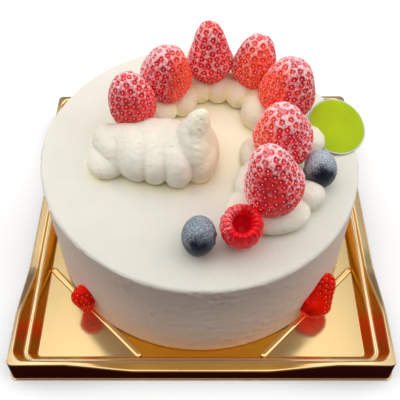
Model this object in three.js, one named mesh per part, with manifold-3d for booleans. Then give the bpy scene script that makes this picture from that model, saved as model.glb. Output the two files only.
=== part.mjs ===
// A round cream cake with berries on top, on its square gold plastic tray.
// Millimetres, +Z up. The origin is on the table, under the middle of the tray.

import * as THREE from 'three';
import { mergeVertices } from 'three/addons/utils/BufferGeometryUtils.js';
import Module from 'manifold-3d';

const wasm = await Module();
wasm.setup();

// ---------------------------------------------------------------- driving dimensions

const GAP = 0.3; // left between pieces that touch
const SEAT_ROOM = 1.0; // left round a berry that stands in the cream

// The tray: a thin sheet drawn up into a stepped rim, which is lower along the middle of each side.
const TRAY_HALF = 95; // from the middle to the foot of the skirt
const SHEET = 0.6;
const FLANGE = 1.2; // lip that runs out along the table
const RIM_HIGH = 15.2; // rim at the corners
const RIM_LOW = 7.8; // rim along the middle of a side
const LEDGE = 7.0; // step halfway down the inside
const LOW_REACH = 33.3; // the low rim ends here, from the middle of the side
const HIGH_REACH = 66.2; // and the high rim starts here
const SKIRT_IN = 0.4; // how far in each line of the profile lies
const RIM_IN = 2.7;
const LEDGE_IN = 5.7;
const LEDGE_END_IN = 7.8;
const FLOOR_IN = 11.2;
const RIB_REACH = 114.5; // |x| + |y| along a rib, which crosses a corner of the floor
const RIB_WIDTH = 3.4;
const RIB_TOP_WIDTH = 1.8;
const RIB_HEIGHT = 1.2;

// The cake: one iced round, its top sloping a little.
const CAKE_RADIUS = 81.6;
const CAKE_TOP = 62.2;
const CAKE_X = -0.3;
const CAKE_Y = 1.4;
const CAKE_EDGE = 3.6; // rounding of the top edge
const SLOPE_X = -0.04; // rise of the top for each millimetre to the right
const SLOPE_Y = 0.024; // and to the back

// The berries on top, in the plane of the cake's top: x, y, lift above it, length, radius,
// lean to the right, lean to the back, and how pointed the tip is.
const STRAWBERRIES = [
  { x: -33.6, y: 14.3, lift: 8.7, length: 31.1, radius: 11.6, right: -0.12, back: -0.06, point: 0.0 },
  { x: -19.8, y: 38.0, lift: 9.1, length: 35.4, radius: 13.7, right: 0.09, back: -0.34, point: 0.6 },
  { x: 4.9, y: 48.8, lift: 9.5, length: 36.3, radius: 12.4, right: -0.06, back: -0.08, point: 0.9 },
  { x: 27.4, y: 47.5, lift: 6.4, length: 32.0, radius: 11.9, right: 0.08, back: -0.05, point: 0.3 },
  { x: 43.8, y: 27.2, lift: 7.2, length: 36.2, radius: 14.5, right: 0.02, back: -0.16, point: 0.5 },
  { x: 42.4, y: -2.4, lift: 6.7, length: 35.9, radius: 14.9, right: -0.19, back: -0.23, point: 0.8 },
  { x: 36.1, y: -36.0, lift: 8.3, length: 38.8, radius: 14.2, right: -0.24, back: -0.07, point: 0.9 },
];
const BERRY_WIDEST = 0.36; // of its length, from the hull end
const BERRY_FOOT = 0.44; // length of the round end, whose last part is cut flat
const SEED_COLUMNS = 18;
const SEED_ROWS_UP = 9;
const SEED_ROWS_DOWN = 4;
const SEED_DEPTH = 0.55;

// Blueberries lie on their side: radius across the waist, and which way the crown points.
const BLUEBERRIES = [
  { x: 58.7, y: -17.4, lift: 9.9, radius: 9.5, right: 0, back: 0.1, crown: 160 },
  { x: -0.9, y: -58.1, lift: 9.6, radius: 9.3, right: -0.08, back: 0.1, crown: 10 },
];
const BLUEBERRY_FLAT = 0.82; // length from crown to stalk over the width
const CROWN_DIP = 22; // degrees that the crown points below level

const RASPBERRY = { x: 18.3, y: -54.4, lift: 11.0, right: -0.05, back: -0.3 };
const DRUPELET_COLUMNS = 11;
const DRUPELET_ROWS = 12;
const DRUPELET_HEIGHT = 0.8;

// The plaque: a disc that lies on the cream and out over the cake's edge.
const PLAQUE_RADIUS = 16;
const PLAQUE_THICK = 0.9;
const PLAQUE_AT = [71.6, 15.2, 6.0];
const PLAQUE_RIGHT = 0.18; // lean of its face
const PLAQUE_BACK = -0.32;

// The swirl: thick lobes side by side, which end in a tall peak. Each is a squashed ball:
// x, y, half its length, half its width, its height, and how far it is turned in degrees.
const SWIRL = [
  { x: -46.8, y: -9.5, along: 10.3, across: 12.2, tall: 13.0, turn: 0 },
  { x: -44.6, y: -1.5, along: 9.0, across: 13.0, tall: 16.5, turn: 25 },
  { x: -33.5, y: -6.5, along: 10.5, across: 18.0, tall: 19.5, turn: 12 },
  { x: -23.8, y: -7.2, along: 10.0, across: 19.3, tall: 20, turn: 9 },
  { x: -13.2, y: -8.0, along: 10.3, across: 20.0, tall: 20.5, turn: 9 },
  { x: -0.7, y: -5.5, along: 9.4, across: 17.4, tall: 21, turn: 4 },
];
// Its peak, a blunt finger that curls a little: middle, height and radius, from the tip down.
const PEAK = [
  { x: -1.3, y: -3.2, z: 33.0, radius: 0 },
  { x: -1.5, y: -3.2, z: 32.3, radius: 2.3 },
  { x: -2.0, y: -3.3, z: 29.6, radius: 4.2 },
  { x: -2.7, y: -3.6, z: 24.5, radius: 6.2 },
  { x: -2.9, y: -4.0, z: 18.5, radius: 7.8 },
  { x: -2.4, y: -4.5, z: 11.0, radius: 9.4 },
];

// The piped ring that holds the berries: smaller lobes, listed from the left round the back,
// first those on the inside of the ring, and then those on the outside.
const RING = [
  { x: -24.0, y: 26.0, along: 10, across: 12, tall: 12.5, turn: 50 },
  { x: -11.5, y: 34.5, along: 9.5, across: 12, tall: 13, turn: 20 },
  { x: -1.0, y: 43.5, along: 8, across: 10.5, tall: 13, turn: 5 },
  { x: 10.0, y: 44.5, along: 8.5, across: 11.5, tall: 13.5, turn: -8 },
  { x: 22.0, y: 41.5, along: 8.5, across: 12, tall: 12.5, turn: -20 },
  { x: 33.0, y: 40.0, along: 10, across: 11, tall: 11, turn: -40 },
  { x: 30.5, y: 23.5, along: 11, across: 9, tall: 15, turn: -75 },
  { x: 29.5, y: -4.0, along: 12, across: 10, tall: 10, turn: 85 },
  { x: 26.5, y: -22.0, along: 12.5, across: 10, tall: 10, turn: 75 },
  { x: 24.0, y: -36.0, along: 13.5, across: 11, tall: 6.5, turn: 60 },
  { x: 37.0, y: -42.5, along: 15.5, across: 9.5, tall: 11, turn: 12 },
  { x: -38.0, y: 22.0, along: 9, across: 9, tall: 9, turn: 60 },
  { x: -30.5, y: 42.0, along: 9.5, across: 9, tall: 9.5, turn: 50 },
  { x: -14.0, y: 51.0, along: 10, across: 9, tall: 9.5, turn: 20 },
  { x: 6.0, y: 57.0, along: 10.5, across: 9, tall: 10, turn: 0 },
  { x: 27.0, y: 55.5, along: 10.5, across: 9, tall: 9.5, turn: -20 },
  { x: 46.0, y: 38.0, along: 11, across: 9, tall: 9.5, turn: -60 },
  { x: 55.0, y: 6.0, along: 9, across: 9.5, tall: 11.5, turn: 80 },
  { x: 51.8, y: -30.0, along: 9, across: 8.5, tall: 11, turn: 30 },
];
// The cream under the berries, which runs right through the ring.
const BED = [[-36, 20], [-22, 37], [4, 48], [27, 47], [42, 29], [43, 10], [43, -8], [40, -34]];
const BED_RADIUS = 10;
const BED_SINK = 2;

// Two cut strawberries at the cake's foot: bearing on the cake, length, radius, depth from the cut
// face, lean along the cake's side in degrees, and height of the lowest point above the table.
const FOOT_LEFT = { bearing: -136, length: 20, radius: 6.2, depth: 8.9, lean: 180, lift: 2.3 };
const FOOT_RIGHT = { bearing: -42.8, length: 26.2, radius: 9.6, depth: 11.2, lean: 39, lift: 2.2 };

// ---------------------------------------------------------------- helpers

const radians = THREE.MathUtils.degToRad;

// One closed mesh with shared corners, without the slivers where rings shrink to a point.
function closed(geometry) {
  geometry.deleteAttribute('normal');
  geometry.deleteAttribute('uv');
  const merged = mergeVertices(geometry, 1e-4);
  const corners = merged.index.array;
  const kept = [];
  for (let i = 0; i < corners.length; i += 3) {
    const [a, b, c] = corners.slice(i, i + 3);
    if (a !== b && b !== c && c !== a) kept.push(a, b, c);
  }
  merged.setIndex(kept);
  return merged;
}

// A skin over rings of points, from the middle of the top, out and down, to the middle of the foot.
// Each four points are split along the diagonal that stands out, so that dimples stay dimples.
function loft(rings) {
  const count = rings[0].length;
  const points = rings.flat();
  const index = [];
  for (let k = 0; k + 1 < rings.length; k++) {
    for (let i = 0; i < count; i++) {
      const next = (i + 1) % count;
      const [a, d] = [k * count + i, k * count + next];
      const [b, c] = [a + count, d + count];
      const reach = (j) => Math.hypot(points[j].x, points[j].y);
      const split = reach(a) + reach(c) >= reach(b) + reach(d);
      index.push(...(split ? [a, b, c, a, c, d] : [a, b, d, b, c, d]));
    }
  }
  const geometry = new THREE.BufferGeometry();
  geometry.setFromPoints(points);
  geometry.setIndex(index);
  return closed(geometry);
}

function solid(geometry) {
  return new wasm.Manifold(new wasm.Mesh({
    numProp: 3,
    vertProperties: Float32Array.from(geometry.attributes.position.array),
    triVerts: Uint32Array.from(geometry.index.array),
  }));
}

function geometryOf(manifold) {
  const mesh = manifold.getMesh();
  const geometry = new THREE.BufferGeometry();
  geometry.setAttribute('position', new THREE.BufferAttribute(mesh.vertProperties, 3));
  geometry.setIndex(new THREE.BufferAttribute(mesh.triVerts, 1));
  return geometry;
}

function join(geometries) {
  return geometries.map(solid).reduce((whole, piece) => whole.add(piece));
}

function named(name, geometry, colour, roughness, metalness = 0) {
  geometry.computeVertexNormals();
  const look = { color: colour, roughness, metalness, flatShading: true };
  const mesh = new THREE.Mesh(geometry, new THREE.MeshStandardMaterial(look));
  mesh.name = name;
  return mesh;
}

// Small steady unevenness, the same on every run.
function wobble(angle, seed) {
  return 0.6 * Math.sin(2 * angle + seed * 1.7) + 0.4 * Math.sin(3 * angle + seed * 2.9);
}

function ballGeometry(columns, rows) {
  const ball = new THREE.SphereGeometry(1, columns, rows);
  return closed(ball.rotateX(Math.PI / 2));
}

// ---------------------------------------------------------------- tray

// One line of the tray's profile, all the way round: its inset, height and corner radius,
// and its inset and height along the middle of each side.
function trayLine({ inset, height, corner, lowInset = inset, lowHeight = height }) {
  const points = [];
  const arcSteps = 4;
  const half = TRAY_HALF - inset;
  const side = [[-HIGH_REACH, half, height], [-LOW_REACH, TRAY_HALF - lowInset, lowHeight],
    [LOW_REACH, TRAY_HALF - lowInset, lowHeight], [HIGH_REACH, half, height]];
  for (let quarter = 0; quarter < 4; quarter++) {
    const turn = new THREE.Matrix4().makeRotationZ(quarter * Math.PI / 2);
    for (const [along, out, z] of side) {
      points.push(new THREE.Vector3(out, along, z).applyMatrix4(turn));
    }
    for (let step = 0; step <= arcSteps; step++) {
      const angle = (step / arcSteps) * Math.PI / 2;
      const centre = half - corner;
      const x = centre + corner * Math.cos(angle);
      const y = centre + corner * Math.sin(angle);
      points.push(new THREE.Vector3(x, y, height).applyMatrix4(turn));
    }
  }
  return points;
}

function middle(line, z) {
  return line.map(() => new THREE.Vector3(0, 0, z));
}

function ribGeometry(quarter, grow = 0) {
  const end = TRAY_HALF - FLOOR_IN - 0.2;
  const outline = (width) => [-1, 1].map((sign) => RIB_REACH + sign * (width / 2 + grow) * Math.SQRT2);
  const quad = (width, z) => {
    const [near, far] = outline(width);
    return [[end, near - end], [end, far - end], [far - end, end], [near - end, end]]
      .map(([x, y]) => new THREE.Vector3(x, y, z));
  };
  const foot = quad(RIB_WIDTH, SHEET / 2);
  const top = quad(RIB_TOP_WIDTH, SHEET + RIB_HEIGHT + grow);
  const centre = (ring) => {
    const mid = ring.reduce((sum, p) => sum.add(p), new THREE.Vector3()).divideScalar(ring.length);
    return ring.map(() => mid);
  };
  return loft([centre(top), top, foot, centre(foot)]).rotateZ(quarter * Math.PI / 2);
}

function trayGeometry() {
  const under = 0.65 * SHEET; // the underside's lines are shifted this much towards the skirt
  const top = [
    { inset: FLOOR_IN, height: SHEET, corner: 2 },
    { inset: LEDGE_END_IN, height: LEDGE, corner: 4.5 },
    { inset: LEDGE_IN, height: LEDGE, corner: 6 },
    { inset: RIM_IN, height: RIM_HIGH, corner: 6.8, lowInset: LEDGE_IN - 0.5, lowHeight: RIM_LOW },
    { inset: SKIRT_IN, height: RIM_HIGH, corner: 2.6, lowHeight: RIM_LOW },
    { inset: 0, height: SHEET, corner: 2.8 },
    { inset: -FLANGE, height: SHEET, corner: 3.6 },
    { inset: -FLANGE, height: 0, corner: 3.6 },
  ];
  const bottom = [
    { inset: SHEET, height: 0, corner: 2.4 },
    { inset: SKIRT_IN + SHEET, height: RIM_HIGH - SHEET, corner: 2.2, lowHeight: RIM_LOW - SHEET },
    { inset: RIM_IN - under, height: RIM_HIGH - SHEET, corner: 6.6, lowInset: LEDGE_IN - 0.5 - under,
      lowHeight: RIM_LOW - SHEET },
    { inset: LEDGE_IN - under, height: LEDGE - SHEET, corner: 6.2 },
    { inset: LEDGE_END_IN - under, height: LEDGE - SHEET, corner: 4.8 },
    { inset: FLOOR_IN - under, height: 0, corner: 2.4 },
  ];
  const lines = [...top, ...bottom].map(trayLine);
  return loft([middle(lines[0], SHEET), ...lines, middle(lines[0], 0)]);
}

const quarters = [0, 1, 2, 3];
const trayShape = join([trayGeometry(), ...quarters.map((quarter) => ribGeometry(quarter))]);
const tray = named('tray', geometryOf(trayShape), '#d9a95a', 0.25, 1);

// ---------------------------------------------------------------- cake

function cakeGeometry() {
  const foot = SHEET + GAP;
  const outline = new THREE.Path();
  outline.moveTo(0, foot);
  outline.lineTo(CAKE_RADIUS, foot);
  outline.lineTo(CAKE_RADIUS, CAKE_TOP - CAKE_EDGE);
  outline.absarc(CAKE_RADIUS - CAKE_EDGE, CAKE_TOP - CAKE_EDGE, CAKE_EDGE, 0, Math.PI / 2);
  outline.lineTo(0, CAKE_TOP);
  const around = new THREE.LatheGeometry(outline.getPoints(4), 52).rotateX(Math.PI / 2);
  const position = around.attributes.position;
  for (let i = 0; i < position.count; i++) {
    const [x, y, z] = [position.getX(i), position.getY(i), position.getZ(i)];
    position.setXYZ(i, x + CAKE_X, y + CAKE_Y, z + (SLOPE_X * x + SLOPE_Y * y) * (z / CAKE_TOP));
  }
  return closed(around);
}

const cakeShape = quarters.reduce(
  (shape, quarter) => shape.subtract(solid(ribGeometry(quarter, GAP))),
  solid(cakeGeometry()),
);
const cake = named('cake', geometryOf(cakeShape), '#f1ead9', 0.6);

// ---------------------------------------------------------------- strawberries

// Rings of a strawberry, tip first. Every other point is pressed in, as a seed's dimple.
function strawberryGeometry({ length, radius, point }, seed, grow = 0) {
  const rings = [];
  const addRing = (fraction, width, pressed) => {
    const ring = [];
    for (let column = 0; column < SEED_COLUMNS; column++) {
      const angle = (column / SEED_COLUMNS) * 2 * Math.PI;
      const dimple = pressed && (column + rings.length) % 2 ? SEED_DEPTH : 0;
      const reach = width * radius * (1 + 0.03 * wobble(angle, seed)) - dimple + (width ? grow : 0);
      ring.push(new THREE.Vector3(reach * Math.cos(angle), reach * Math.sin(angle), fraction * length));
    }
    rings.push(ring);
  };
  const upper = 1 - BERRY_WIDEST;
  addRing(1 + grow / length, 0, false);
  for (let row = 1; row <= SEED_ROWS_UP; row++) {
    const angle = (row / SEED_ROWS_UP) * Math.PI / 2;
    const slimmer = 1 - 0.18 * point * Math.sin(Math.PI * Math.cos(angle));
    addRing(BERRY_WIDEST + upper * Math.cos(angle), Math.sin(angle) * slimmer, !grow);
  }
  const footAngle = Math.asin(BERRY_WIDEST / BERRY_FOOT);
  for (let row = 1; row <= SEED_ROWS_DOWN; row++) {
    const angle = (row / SEED_ROWS_DOWN) * footAngle;
    addRing(BERRY_WIDEST - BERRY_FOOT * Math.sin(angle), Math.cos(angle), !grow && row < SEED_ROWS_DOWN);
  }
  rings.at(-1).forEach((p) => { p.z -= grow; });
  addRing(-grow / length, 0, false);
  return loft(rings);
}

// Turns a piece's +Z to its lean and puts it on the cake's top.
function stand(object, { x, y, lift, right, back }) {
  const axis = new THREE.Vector3(right, back, 1).normalize();
  object.position.set(x, y, lift);
  object.quaternion.setFromUnitVectors(new THREE.Vector3(0, 0, 1), axis);
  object.updateMatrix();
  return object;
}

const strawberries = STRAWBERRIES.map((berry, i) => stand(
  named(`strawberry_${i + 1}`, strawberryGeometry(berry, i + 1), '#c22a2c', 0.5),
  berry,
));

// ---------------------------------------------------------------- blueberries and raspberry

// A blueberry, with the open crown of its flower end turned to the side.
function blueberryGeometry({ radius, crown }) {
  const profile = [[0, 0.86], [0.2, 0.87], [0.34, 1.03], [0.42, 1.0], [0.5, 0.87], [0.74, 0.67],
    [0.93, 0.36], [1, 0], [0.93, -0.36], [0.72, -0.69], [0.4, -0.92], [0, -1]];
  const columns = 15;
  const rings = profile.map(([out, up], k) => {
    const ring = [];
    for (let column = 0; column < columns; column++) {
      const angle = (column / columns) * 2 * Math.PI;
      const scallop = k === 2 || k === 3 ? 0.06 * Math.cos(5 * angle) : 0;
      const reach = radius * (out + scallop);
      const z = radius * BLUEBERRY_FLAT * (up + scallop);
      ring.push(new THREE.Vector3(reach * Math.cos(angle), reach * Math.sin(angle), z));
    }
    return ring;
  });
  return loft(rings).rotateX(radians(-90 - CROWN_DIP)).rotateZ(radians(crown - 90));
}

const blueberries = BLUEBERRIES.map((berry, i) => stand(
  named(`blueberry_${i + 1}`, blueberryGeometry(berry), '#3f4a63', 0.6),
  berry,
));

// A raspberry that stands on its tip: the hollow first, over the rim, and down the drupelets.
function raspberryGeometry() {
  const hollow = [[0, -2.2], [3.4, -1.6], [4.1, 3.0]];
  const skin = [[4.7, 7.2], [5.6, 9.2], [7.4, 9.6], [9.0, 7.8], [9.7, 4.0], [9.4, -1.0], [8.0, -5.4],
    [5.2, -8.8], [2.4, -10.2], [0, -10.6]];
  const columns = DRUPELET_COLUMNS * 3;
  const curve = new THREE.SplineCurve(skin.map(([out, up]) => new THREE.Vector2(out, up)));
  const rings = [];
  const addRing = (out, up, height, shift) => {
    const ring = [];
    for (let column = 0; column < columns; column++) {
      const angle = (column / columns) * 2 * Math.PI;
      const reach = out + height * (Math.cos(DRUPELET_COLUMNS * angle + shift) + 0.3);
      ring.push(new THREE.Vector3(reach * Math.cos(angle), reach * Math.sin(angle), up));
    }
    rings.push(ring);
  };
  hollow.forEach(([out, up]) => addRing(out, up, 0, 0));
  curve.getSpacedPoints(DRUPELET_ROWS).forEach((p, row) => {
    const shift = Math.floor(row / 2) % 2 ? Math.PI : 0;
    const bare = row === 0 || row === DRUPELET_ROWS;
    const height = row % 2 ? DRUPELET_HEIGHT : 0.2 * DRUPELET_HEIGHT;
    addRing(row === DRUPELET_ROWS ? 0 : p.x, p.y, bare ? 0 : height, shift);
  });
  return loft(rings);
}

const raspberry = stand(named('raspberry', raspberryGeometry(), '#b8202c', 0.5), RASPBERRY);

// ---------------------------------------------------------------- plaque

function plaqueGeometry(grow = 0, segments = 36) {
  const bevel = 0.25;
  const radius = PLAQUE_RADIUS + grow;
  const half = PLAQUE_THICK / 2 + grow;
  const outline = [[0, -half], [radius - bevel, -half], [radius, -half + bevel], [radius, half - bevel],
    [radius - bevel, half], [0, half]].map(([out, up]) => new THREE.Vector2(out, up));
  return closed(new THREE.LatheGeometry(outline, segments).rotateX(Math.PI / 2));
}

const plaquePlace = {
  x: PLAQUE_AT[0], y: PLAQUE_AT[1], lift: PLAQUE_AT[2], right: PLAQUE_RIGHT, back: PLAQUE_BACK,
};
const plaque = stand(named('plaque', plaqueGeometry(), '#a2bf12', 0.2), plaquePlace);

// ---------------------------------------------------------------- cream

// A lobe of piped cream: a squashed ball that sinks a little below the cake's top.
function lobeGeometry({ x, y, along, across, tall, turn }, columns, rows) {
  const sink = 0.4 * tall;
  const lobe = ballGeometry(columns, rows).scale(along, across, tall - sink);
  return lobe.rotateZ(radians(turn)).translate(x, y, sink);
}

// Everything at or below the cake's top, which the cream is cut off at.
function belowTop() {
  const size = 4 * CAKE_RADIUS;
  return solid(closed(new THREE.BoxGeometry(size, size, size).translate(0, 0, GAP - size / 2)));
}

// Cream with a seat pressed into it by each piece that stands in it.
function pressed(shape, seats) {
  return seats.reduce((cream, seat) => cream.subtract(seat), shape.subtract(belowTop()));
}

// The seat under a strawberry, a plain round hollow wide enough for its bulges.
function seatGeometry({ length, radius }) {
  const room = radius + SEAT_ROOM;
  const below = BERRY_WIDEST * length;
  const outline = [[0, -SEAT_ROOM], [0.62, -SEAT_ROOM], [0.9, 0.4 * below], [1, 0.85 * below],
    [1, 1.2 * below], [0.8, 0.76 * length], [0, length + SEAT_ROOM]]
    .map(([out, up]) => new THREE.Vector2(out * room, up));
  return closed(new THREE.LatheGeometry(outline, 12).rotateX(Math.PI / 2));
}

const berrySeats = STRAWBERRIES.map((berry, i) => solid(
  seatGeometry(berry).applyMatrix4(strawberries[i].matrix),
));
const roundSeats = [
  ...BLUEBERRIES.map(({ radius }, i) => [radius * BLUEBERRY_FLAT, radius, blueberries[i]]),
  [10.6, 10.6, raspberry],
].map(([across, tall, piece]) => {
  const seat = ballGeometry(12, 8).scale(across + SEAT_ROOM, tall + SEAT_ROOM, tall + SEAT_ROOM);
  return solid(seat.applyMatrix4(piece.matrix));
});
const plaqueSeat = solid(plaqueGeometry(GAP, 20).applyMatrix4(plaque.matrix));

const peakRings = PEAK.map(({ x, y, z, radius }) => {
  const circle = new THREE.EllipseCurve(x, y, radius, radius).getPoints(12).slice(0, -1);
  return circle.map((p) => new THREE.Vector3(p.x, p.y, z));
});
const { x: footX, y: footY, z: footZ } = PEAK.at(-1);
const peakFoot = peakRings.at(-1).map(() => new THREE.Vector3(footX, footY, footZ));
const peak = loft([...peakRings, peakFoot]);
const swirlLobes = SWIRL.map((lobe) => lobeGeometry(lobe, 16, 8));
const swirlShape = pressed(join([...swirlLobes, peak]), berrySeats);

const bedCircle = new THREE.Shape().absarc(0, 0, BED_RADIUS, 0, 2 * Math.PI);
const bedPath = new THREE.CatmullRomCurve3(BED.map(([x, y]) => new THREE.Vector3(x, y, -BED_SINK)));
const alongBed = { steps: 20, curveSegments: 8, extrudePath: bedPath };
const bed = closed(new THREE.ExtrudeGeometry(bedCircle, alongBed));
const swirlSeat = join(SWIRL.map((lobe) => lobeGeometry(
  { ...lobe, along: lobe.along + 2 * GAP, across: lobe.across + 2 * GAP, tall: lobe.tall + 2 * GAP }, 16, 8,
)));
const ringShape = pressed(
  join([bed, ...RING.map((lobe) => lobeGeometry(lobe, 12, 6))]),
  [...berrySeats, ...roundSeats, plaqueSeat, swirlSeat],
);
const swirl = named('cream_swirl', geometryOf(swirlShape), '#f4eee0', 0.6);
const ring = named('cream_ring', geometryOf(ringShape), '#f4eee0', 0.6);

// ---------------------------------------------------------------- cut strawberries at the foot

// A strawberry cut lengthwise. It stands on the tray with the cut face against the cake's side.
function footBerry(name, { bearing, length, radius, depth, lean, lift }, seed) {
  const berry = strawberryGeometry({ length, radius, point: 1 }, seed).translate(0, 0, -length / 2);
  berry.rotateX(-radians(lean));
  const side = length * 2;
  const behind = new THREE.BoxGeometry(side, side, side).translate(radius - depth - side / 2, 0, 0);
  const piece = geometryOf(solid(berry).subtract(solid(closed(behind))));
  piece.computeBoundingBox();
  const { min } = piece.boundingBox;
  piece.translate(-min.x, 0, -min.z);
  const mesh = named(name, piece, '#c01414', 0.3);
  const out = CAKE_RADIUS + GAP;
  const angle = radians(bearing);
  mesh.position.set(CAKE_X + out * Math.cos(angle), CAKE_Y + out * Math.sin(angle), lift);
  mesh.rotation.z = angle;
  return mesh;
}

const footBerries = [
  footBerry('foot_berry_left', FOOT_LEFT, 11),
  footBerry('foot_berry_right', FOOT_RIGHT, 12),
];

// ---------------------------------------------------------------- the whole

const toppings = new THREE.Group();
toppings.position.set(CAKE_X, CAKE_Y, CAKE_TOP);
toppings.quaternion.setFromUnitVectors(
  new THREE.Vector3(0, 0, 1),
  new THREE.Vector3(-SLOPE_X, -SLOPE_Y, 1).normalize(),
);
toppings.add(swirl, ring, ...strawberries, ...blueberries, raspberry, plaque);

const whole = new THREE.Group();
whole.add(tray, cake, toppings, ...footBerries);

export default whole;
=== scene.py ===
"""A round cream cake with frosted berries on its square gold tray.

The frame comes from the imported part. Sizes below are millimetres, turned into metres where a mesh
is made. Berry coordinates lie in the plane of the cake's top, which slopes a little.
"""

import math
import random
from functools import cached_property, reduce

import bmesh
import bpy
import numpy as np
from mathutils import Matrix, Vector, kdtree, noise


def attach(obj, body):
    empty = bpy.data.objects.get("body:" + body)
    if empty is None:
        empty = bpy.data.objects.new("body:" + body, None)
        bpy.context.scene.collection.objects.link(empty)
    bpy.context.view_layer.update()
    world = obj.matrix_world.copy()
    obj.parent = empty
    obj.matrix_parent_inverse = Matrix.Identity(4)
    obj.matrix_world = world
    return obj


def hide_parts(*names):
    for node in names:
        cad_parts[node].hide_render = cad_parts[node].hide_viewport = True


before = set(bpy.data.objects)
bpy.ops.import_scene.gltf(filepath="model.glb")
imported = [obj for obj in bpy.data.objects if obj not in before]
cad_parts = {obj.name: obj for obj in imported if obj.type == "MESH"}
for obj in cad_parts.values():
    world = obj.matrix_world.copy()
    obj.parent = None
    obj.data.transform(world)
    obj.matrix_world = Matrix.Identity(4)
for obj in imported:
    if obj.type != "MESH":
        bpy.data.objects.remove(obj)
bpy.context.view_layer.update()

MM = 0.001

# ---------------------------------------------------------------- sizes shared with the part

CAKE_RADIUS = 81.6
CAKE_TOP = 62.2
CAKE_X = -0.3
CAKE_Y = 1.4
CAKE_EDGE = 2.0
SLOPE_X = -0.04
SLOPE_Y = 0.024
TRAY_FLOOR = 0.6
TRAY_HALF = 95
RIM_HIGH = 15.2
RIM_LOW = 7.8  # along the low middle of a side
HIGH_REACH = 66.2
LOW_REACH = 33.3
RIB_REACH = 114.5
RIB_WIDTH = 3.4
RIB_HEIGHT = 1.2

# The bends of the pressed sheet, from the floor over the rim to the underside: inset from the
# skirt, height, corner radius, inset and height along the low middle of a side, how far the bend
# is rounded, the finish before and after it (painted amber reflection, painted dark reflection,
# floor), and how bright the painted highlight along its edge is.
# Amber and dark are painted reflection: the same gold film looks amber or near black where it
# mirrors the dark room. Floor marks the flat floor.
FLOOR_GOLD, WALL_GOLD, LEDGE_GOLD = (0.0, 0.0, 1.0), (1.0, 0.0, 0.0), (0.0, 0.0, 0.0)
OUTER_GOLD, RIM_GOLD, SKIRT_GOLD = (0.95, 0.0, 0.0), (0.12, 0.0, 0.0), (1.0, 0.95, 0.0)
LIP_GOLD, UNDER_GOLD = (0.0, 0.1, 0.0), (0.5, 0.5, 0.0)
TRAY_LINES = [
    (11.2, TRAY_FLOOR, 2.0, 11.2, TRAY_FLOOR, 0.6, FLOOR_GOLD, WALL_GOLD, 0.2),
    (7.8, 7.0, 4.5, 7.8, 7.0, 1.0, WALL_GOLD, LEDGE_GOLD, 0.9),
    (5.7, 7.0, 6.0, 5.7, 7.0, 1.0, LEDGE_GOLD, OUTER_GOLD, 0.7),
    (2.7, RIM_HIGH, 6.8, 5.2, RIM_LOW, 0.9, OUTER_GOLD, RIM_GOLD, 0.6),
    (0.4, RIM_HIGH, 2.6, 0.4, RIM_LOW, 0.9, RIM_GOLD, SKIRT_GOLD, 0.6),
    (0.0, 0.45, 2.8, 0.0, 0.45, 0.3, SKIRT_GOLD, LIP_GOLD, 0.2),
    (-1.0, 0.4, 3.6, -1.0, 0.4, 0.2, LIP_GOLD, LIP_GOLD, 0.5),
    (-1.0, 0.0, 3.6, -1.0, 0.0, 0.2, LIP_GOLD, UNDER_GOLD, 0.0),
    (0.6, 0.0, 2.4, 0.6, 0.0, 0.2, UNDER_GOLD, UNDER_GOLD, 0.0),
    (1.0, 14.6, 2.2, 1.0, 7.2, 0.3, UNDER_GOLD, UNDER_GOLD, 0.0),
    (2.31, 14.6, 6.6, 4.81, 7.2, 0.3, UNDER_GOLD, UNDER_GOLD, 0.0),
    (5.31, 6.4, 6.2, 5.31, 6.4, 0.3, UNDER_GOLD, UNDER_GOLD, 0.0),
    (7.41, 6.4, 4.8, 7.41, 6.4, 0.3, UNDER_GOLD, UNDER_GOLD, 0.0),
    (10.81, 0.0, 2.4, 10.81, 0.0, 0.3, UNDER_GOLD, UNDER_GOLD, 0.0),
]

BERRY_WIDEST = 0.36  # how far up its length a strawberry is widest
BERRY_FOOT = 0.44  # how far the curve below that would reach, before the flat cut

# x, y, lift, length, radius, lean to the right, lean to the back, how pointed, the side that
# carries less frost, how orange it is there, how much frost the rest carries, how much of the
# frost is gone from the bare side, and on one how far its tip is drawn in.
STRAWBERRIES = [
    dict(x=-33.6, y=14.3, lift=8.7, length=31.1, radius=11.6, right=-0.12, back=-0.06, point=0.0,
         bare=(0.3, -0.6, -0.6), bareness=0.25, frost=0.85, dry=0.4),
    dict(x=-19.8, y=38.0, lift=9.1, length=35.4, radius=13.7, right=0.09, back=-0.34, point=0.6,
         bare=(0.9, -0.4, 0.1), bareness=0.8, frost=1.12, dry=0.5),
    dict(x=4.9, y=48.8, lift=9.5, length=36.3, radius=12.4, right=-0.06, back=-0.08, point=0.95,
         sharp=0.4, bare=(0.1, 0.0, 1.0), bareness=0.5, frost=1.12, dry=0.5),
    dict(x=27.4, y=47.5, lift=6.4, length=32.0, radius=11.9, right=0.08, back=-0.05, point=0.3,
         bare=(-0.1, -1.0, 0.2), bareness=0.9, frost=1.05, dry=0.4),
    dict(x=43.8, y=27.2, lift=7.2, length=36.2, radius=14.5, right=0.02, back=-0.16, point=0.5,
         bare=(-0.9, -0.4, 0.0), bareness=0.85, frost=1.12, dry=0.65),
    dict(x=42.4, y=-2.4, lift=6.7, length=35.9, radius=14.9, right=-0.19, back=-0.23, point=0.8,
         bare=(-1.0, -0.1, 0.1), bareness=0.85, frost=1.15, dry=0.5),
    dict(x=36.1, y=-36.0, lift=8.3, length=38.8, radius=14.2, right=-0.24, back=-0.07, point=0.9,
         bare=(0.08, -0.76, -0.65), bareness=0.15, frost=1.12, dry=1.0),
]

# x, y, lift, radius, lean, the crown's bearing in degrees, how far its front is kept clear of
# bloom as painted shade, and how thick the bloom is.
BLUEBERRIES = [
    dict(x=58.7, y=-17.4, lift=9.9, radius=9.5, right=0.0, back=0.1, crown=160, painted_front_shade=0.42,
         bloom=1.05),
    dict(x=-0.9, y=-58.1, lift=9.6, radius=9.3, right=-0.08, back=0.1, crown=10, painted_front_shade=0.62,
         bloom=0.59),
]
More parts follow.
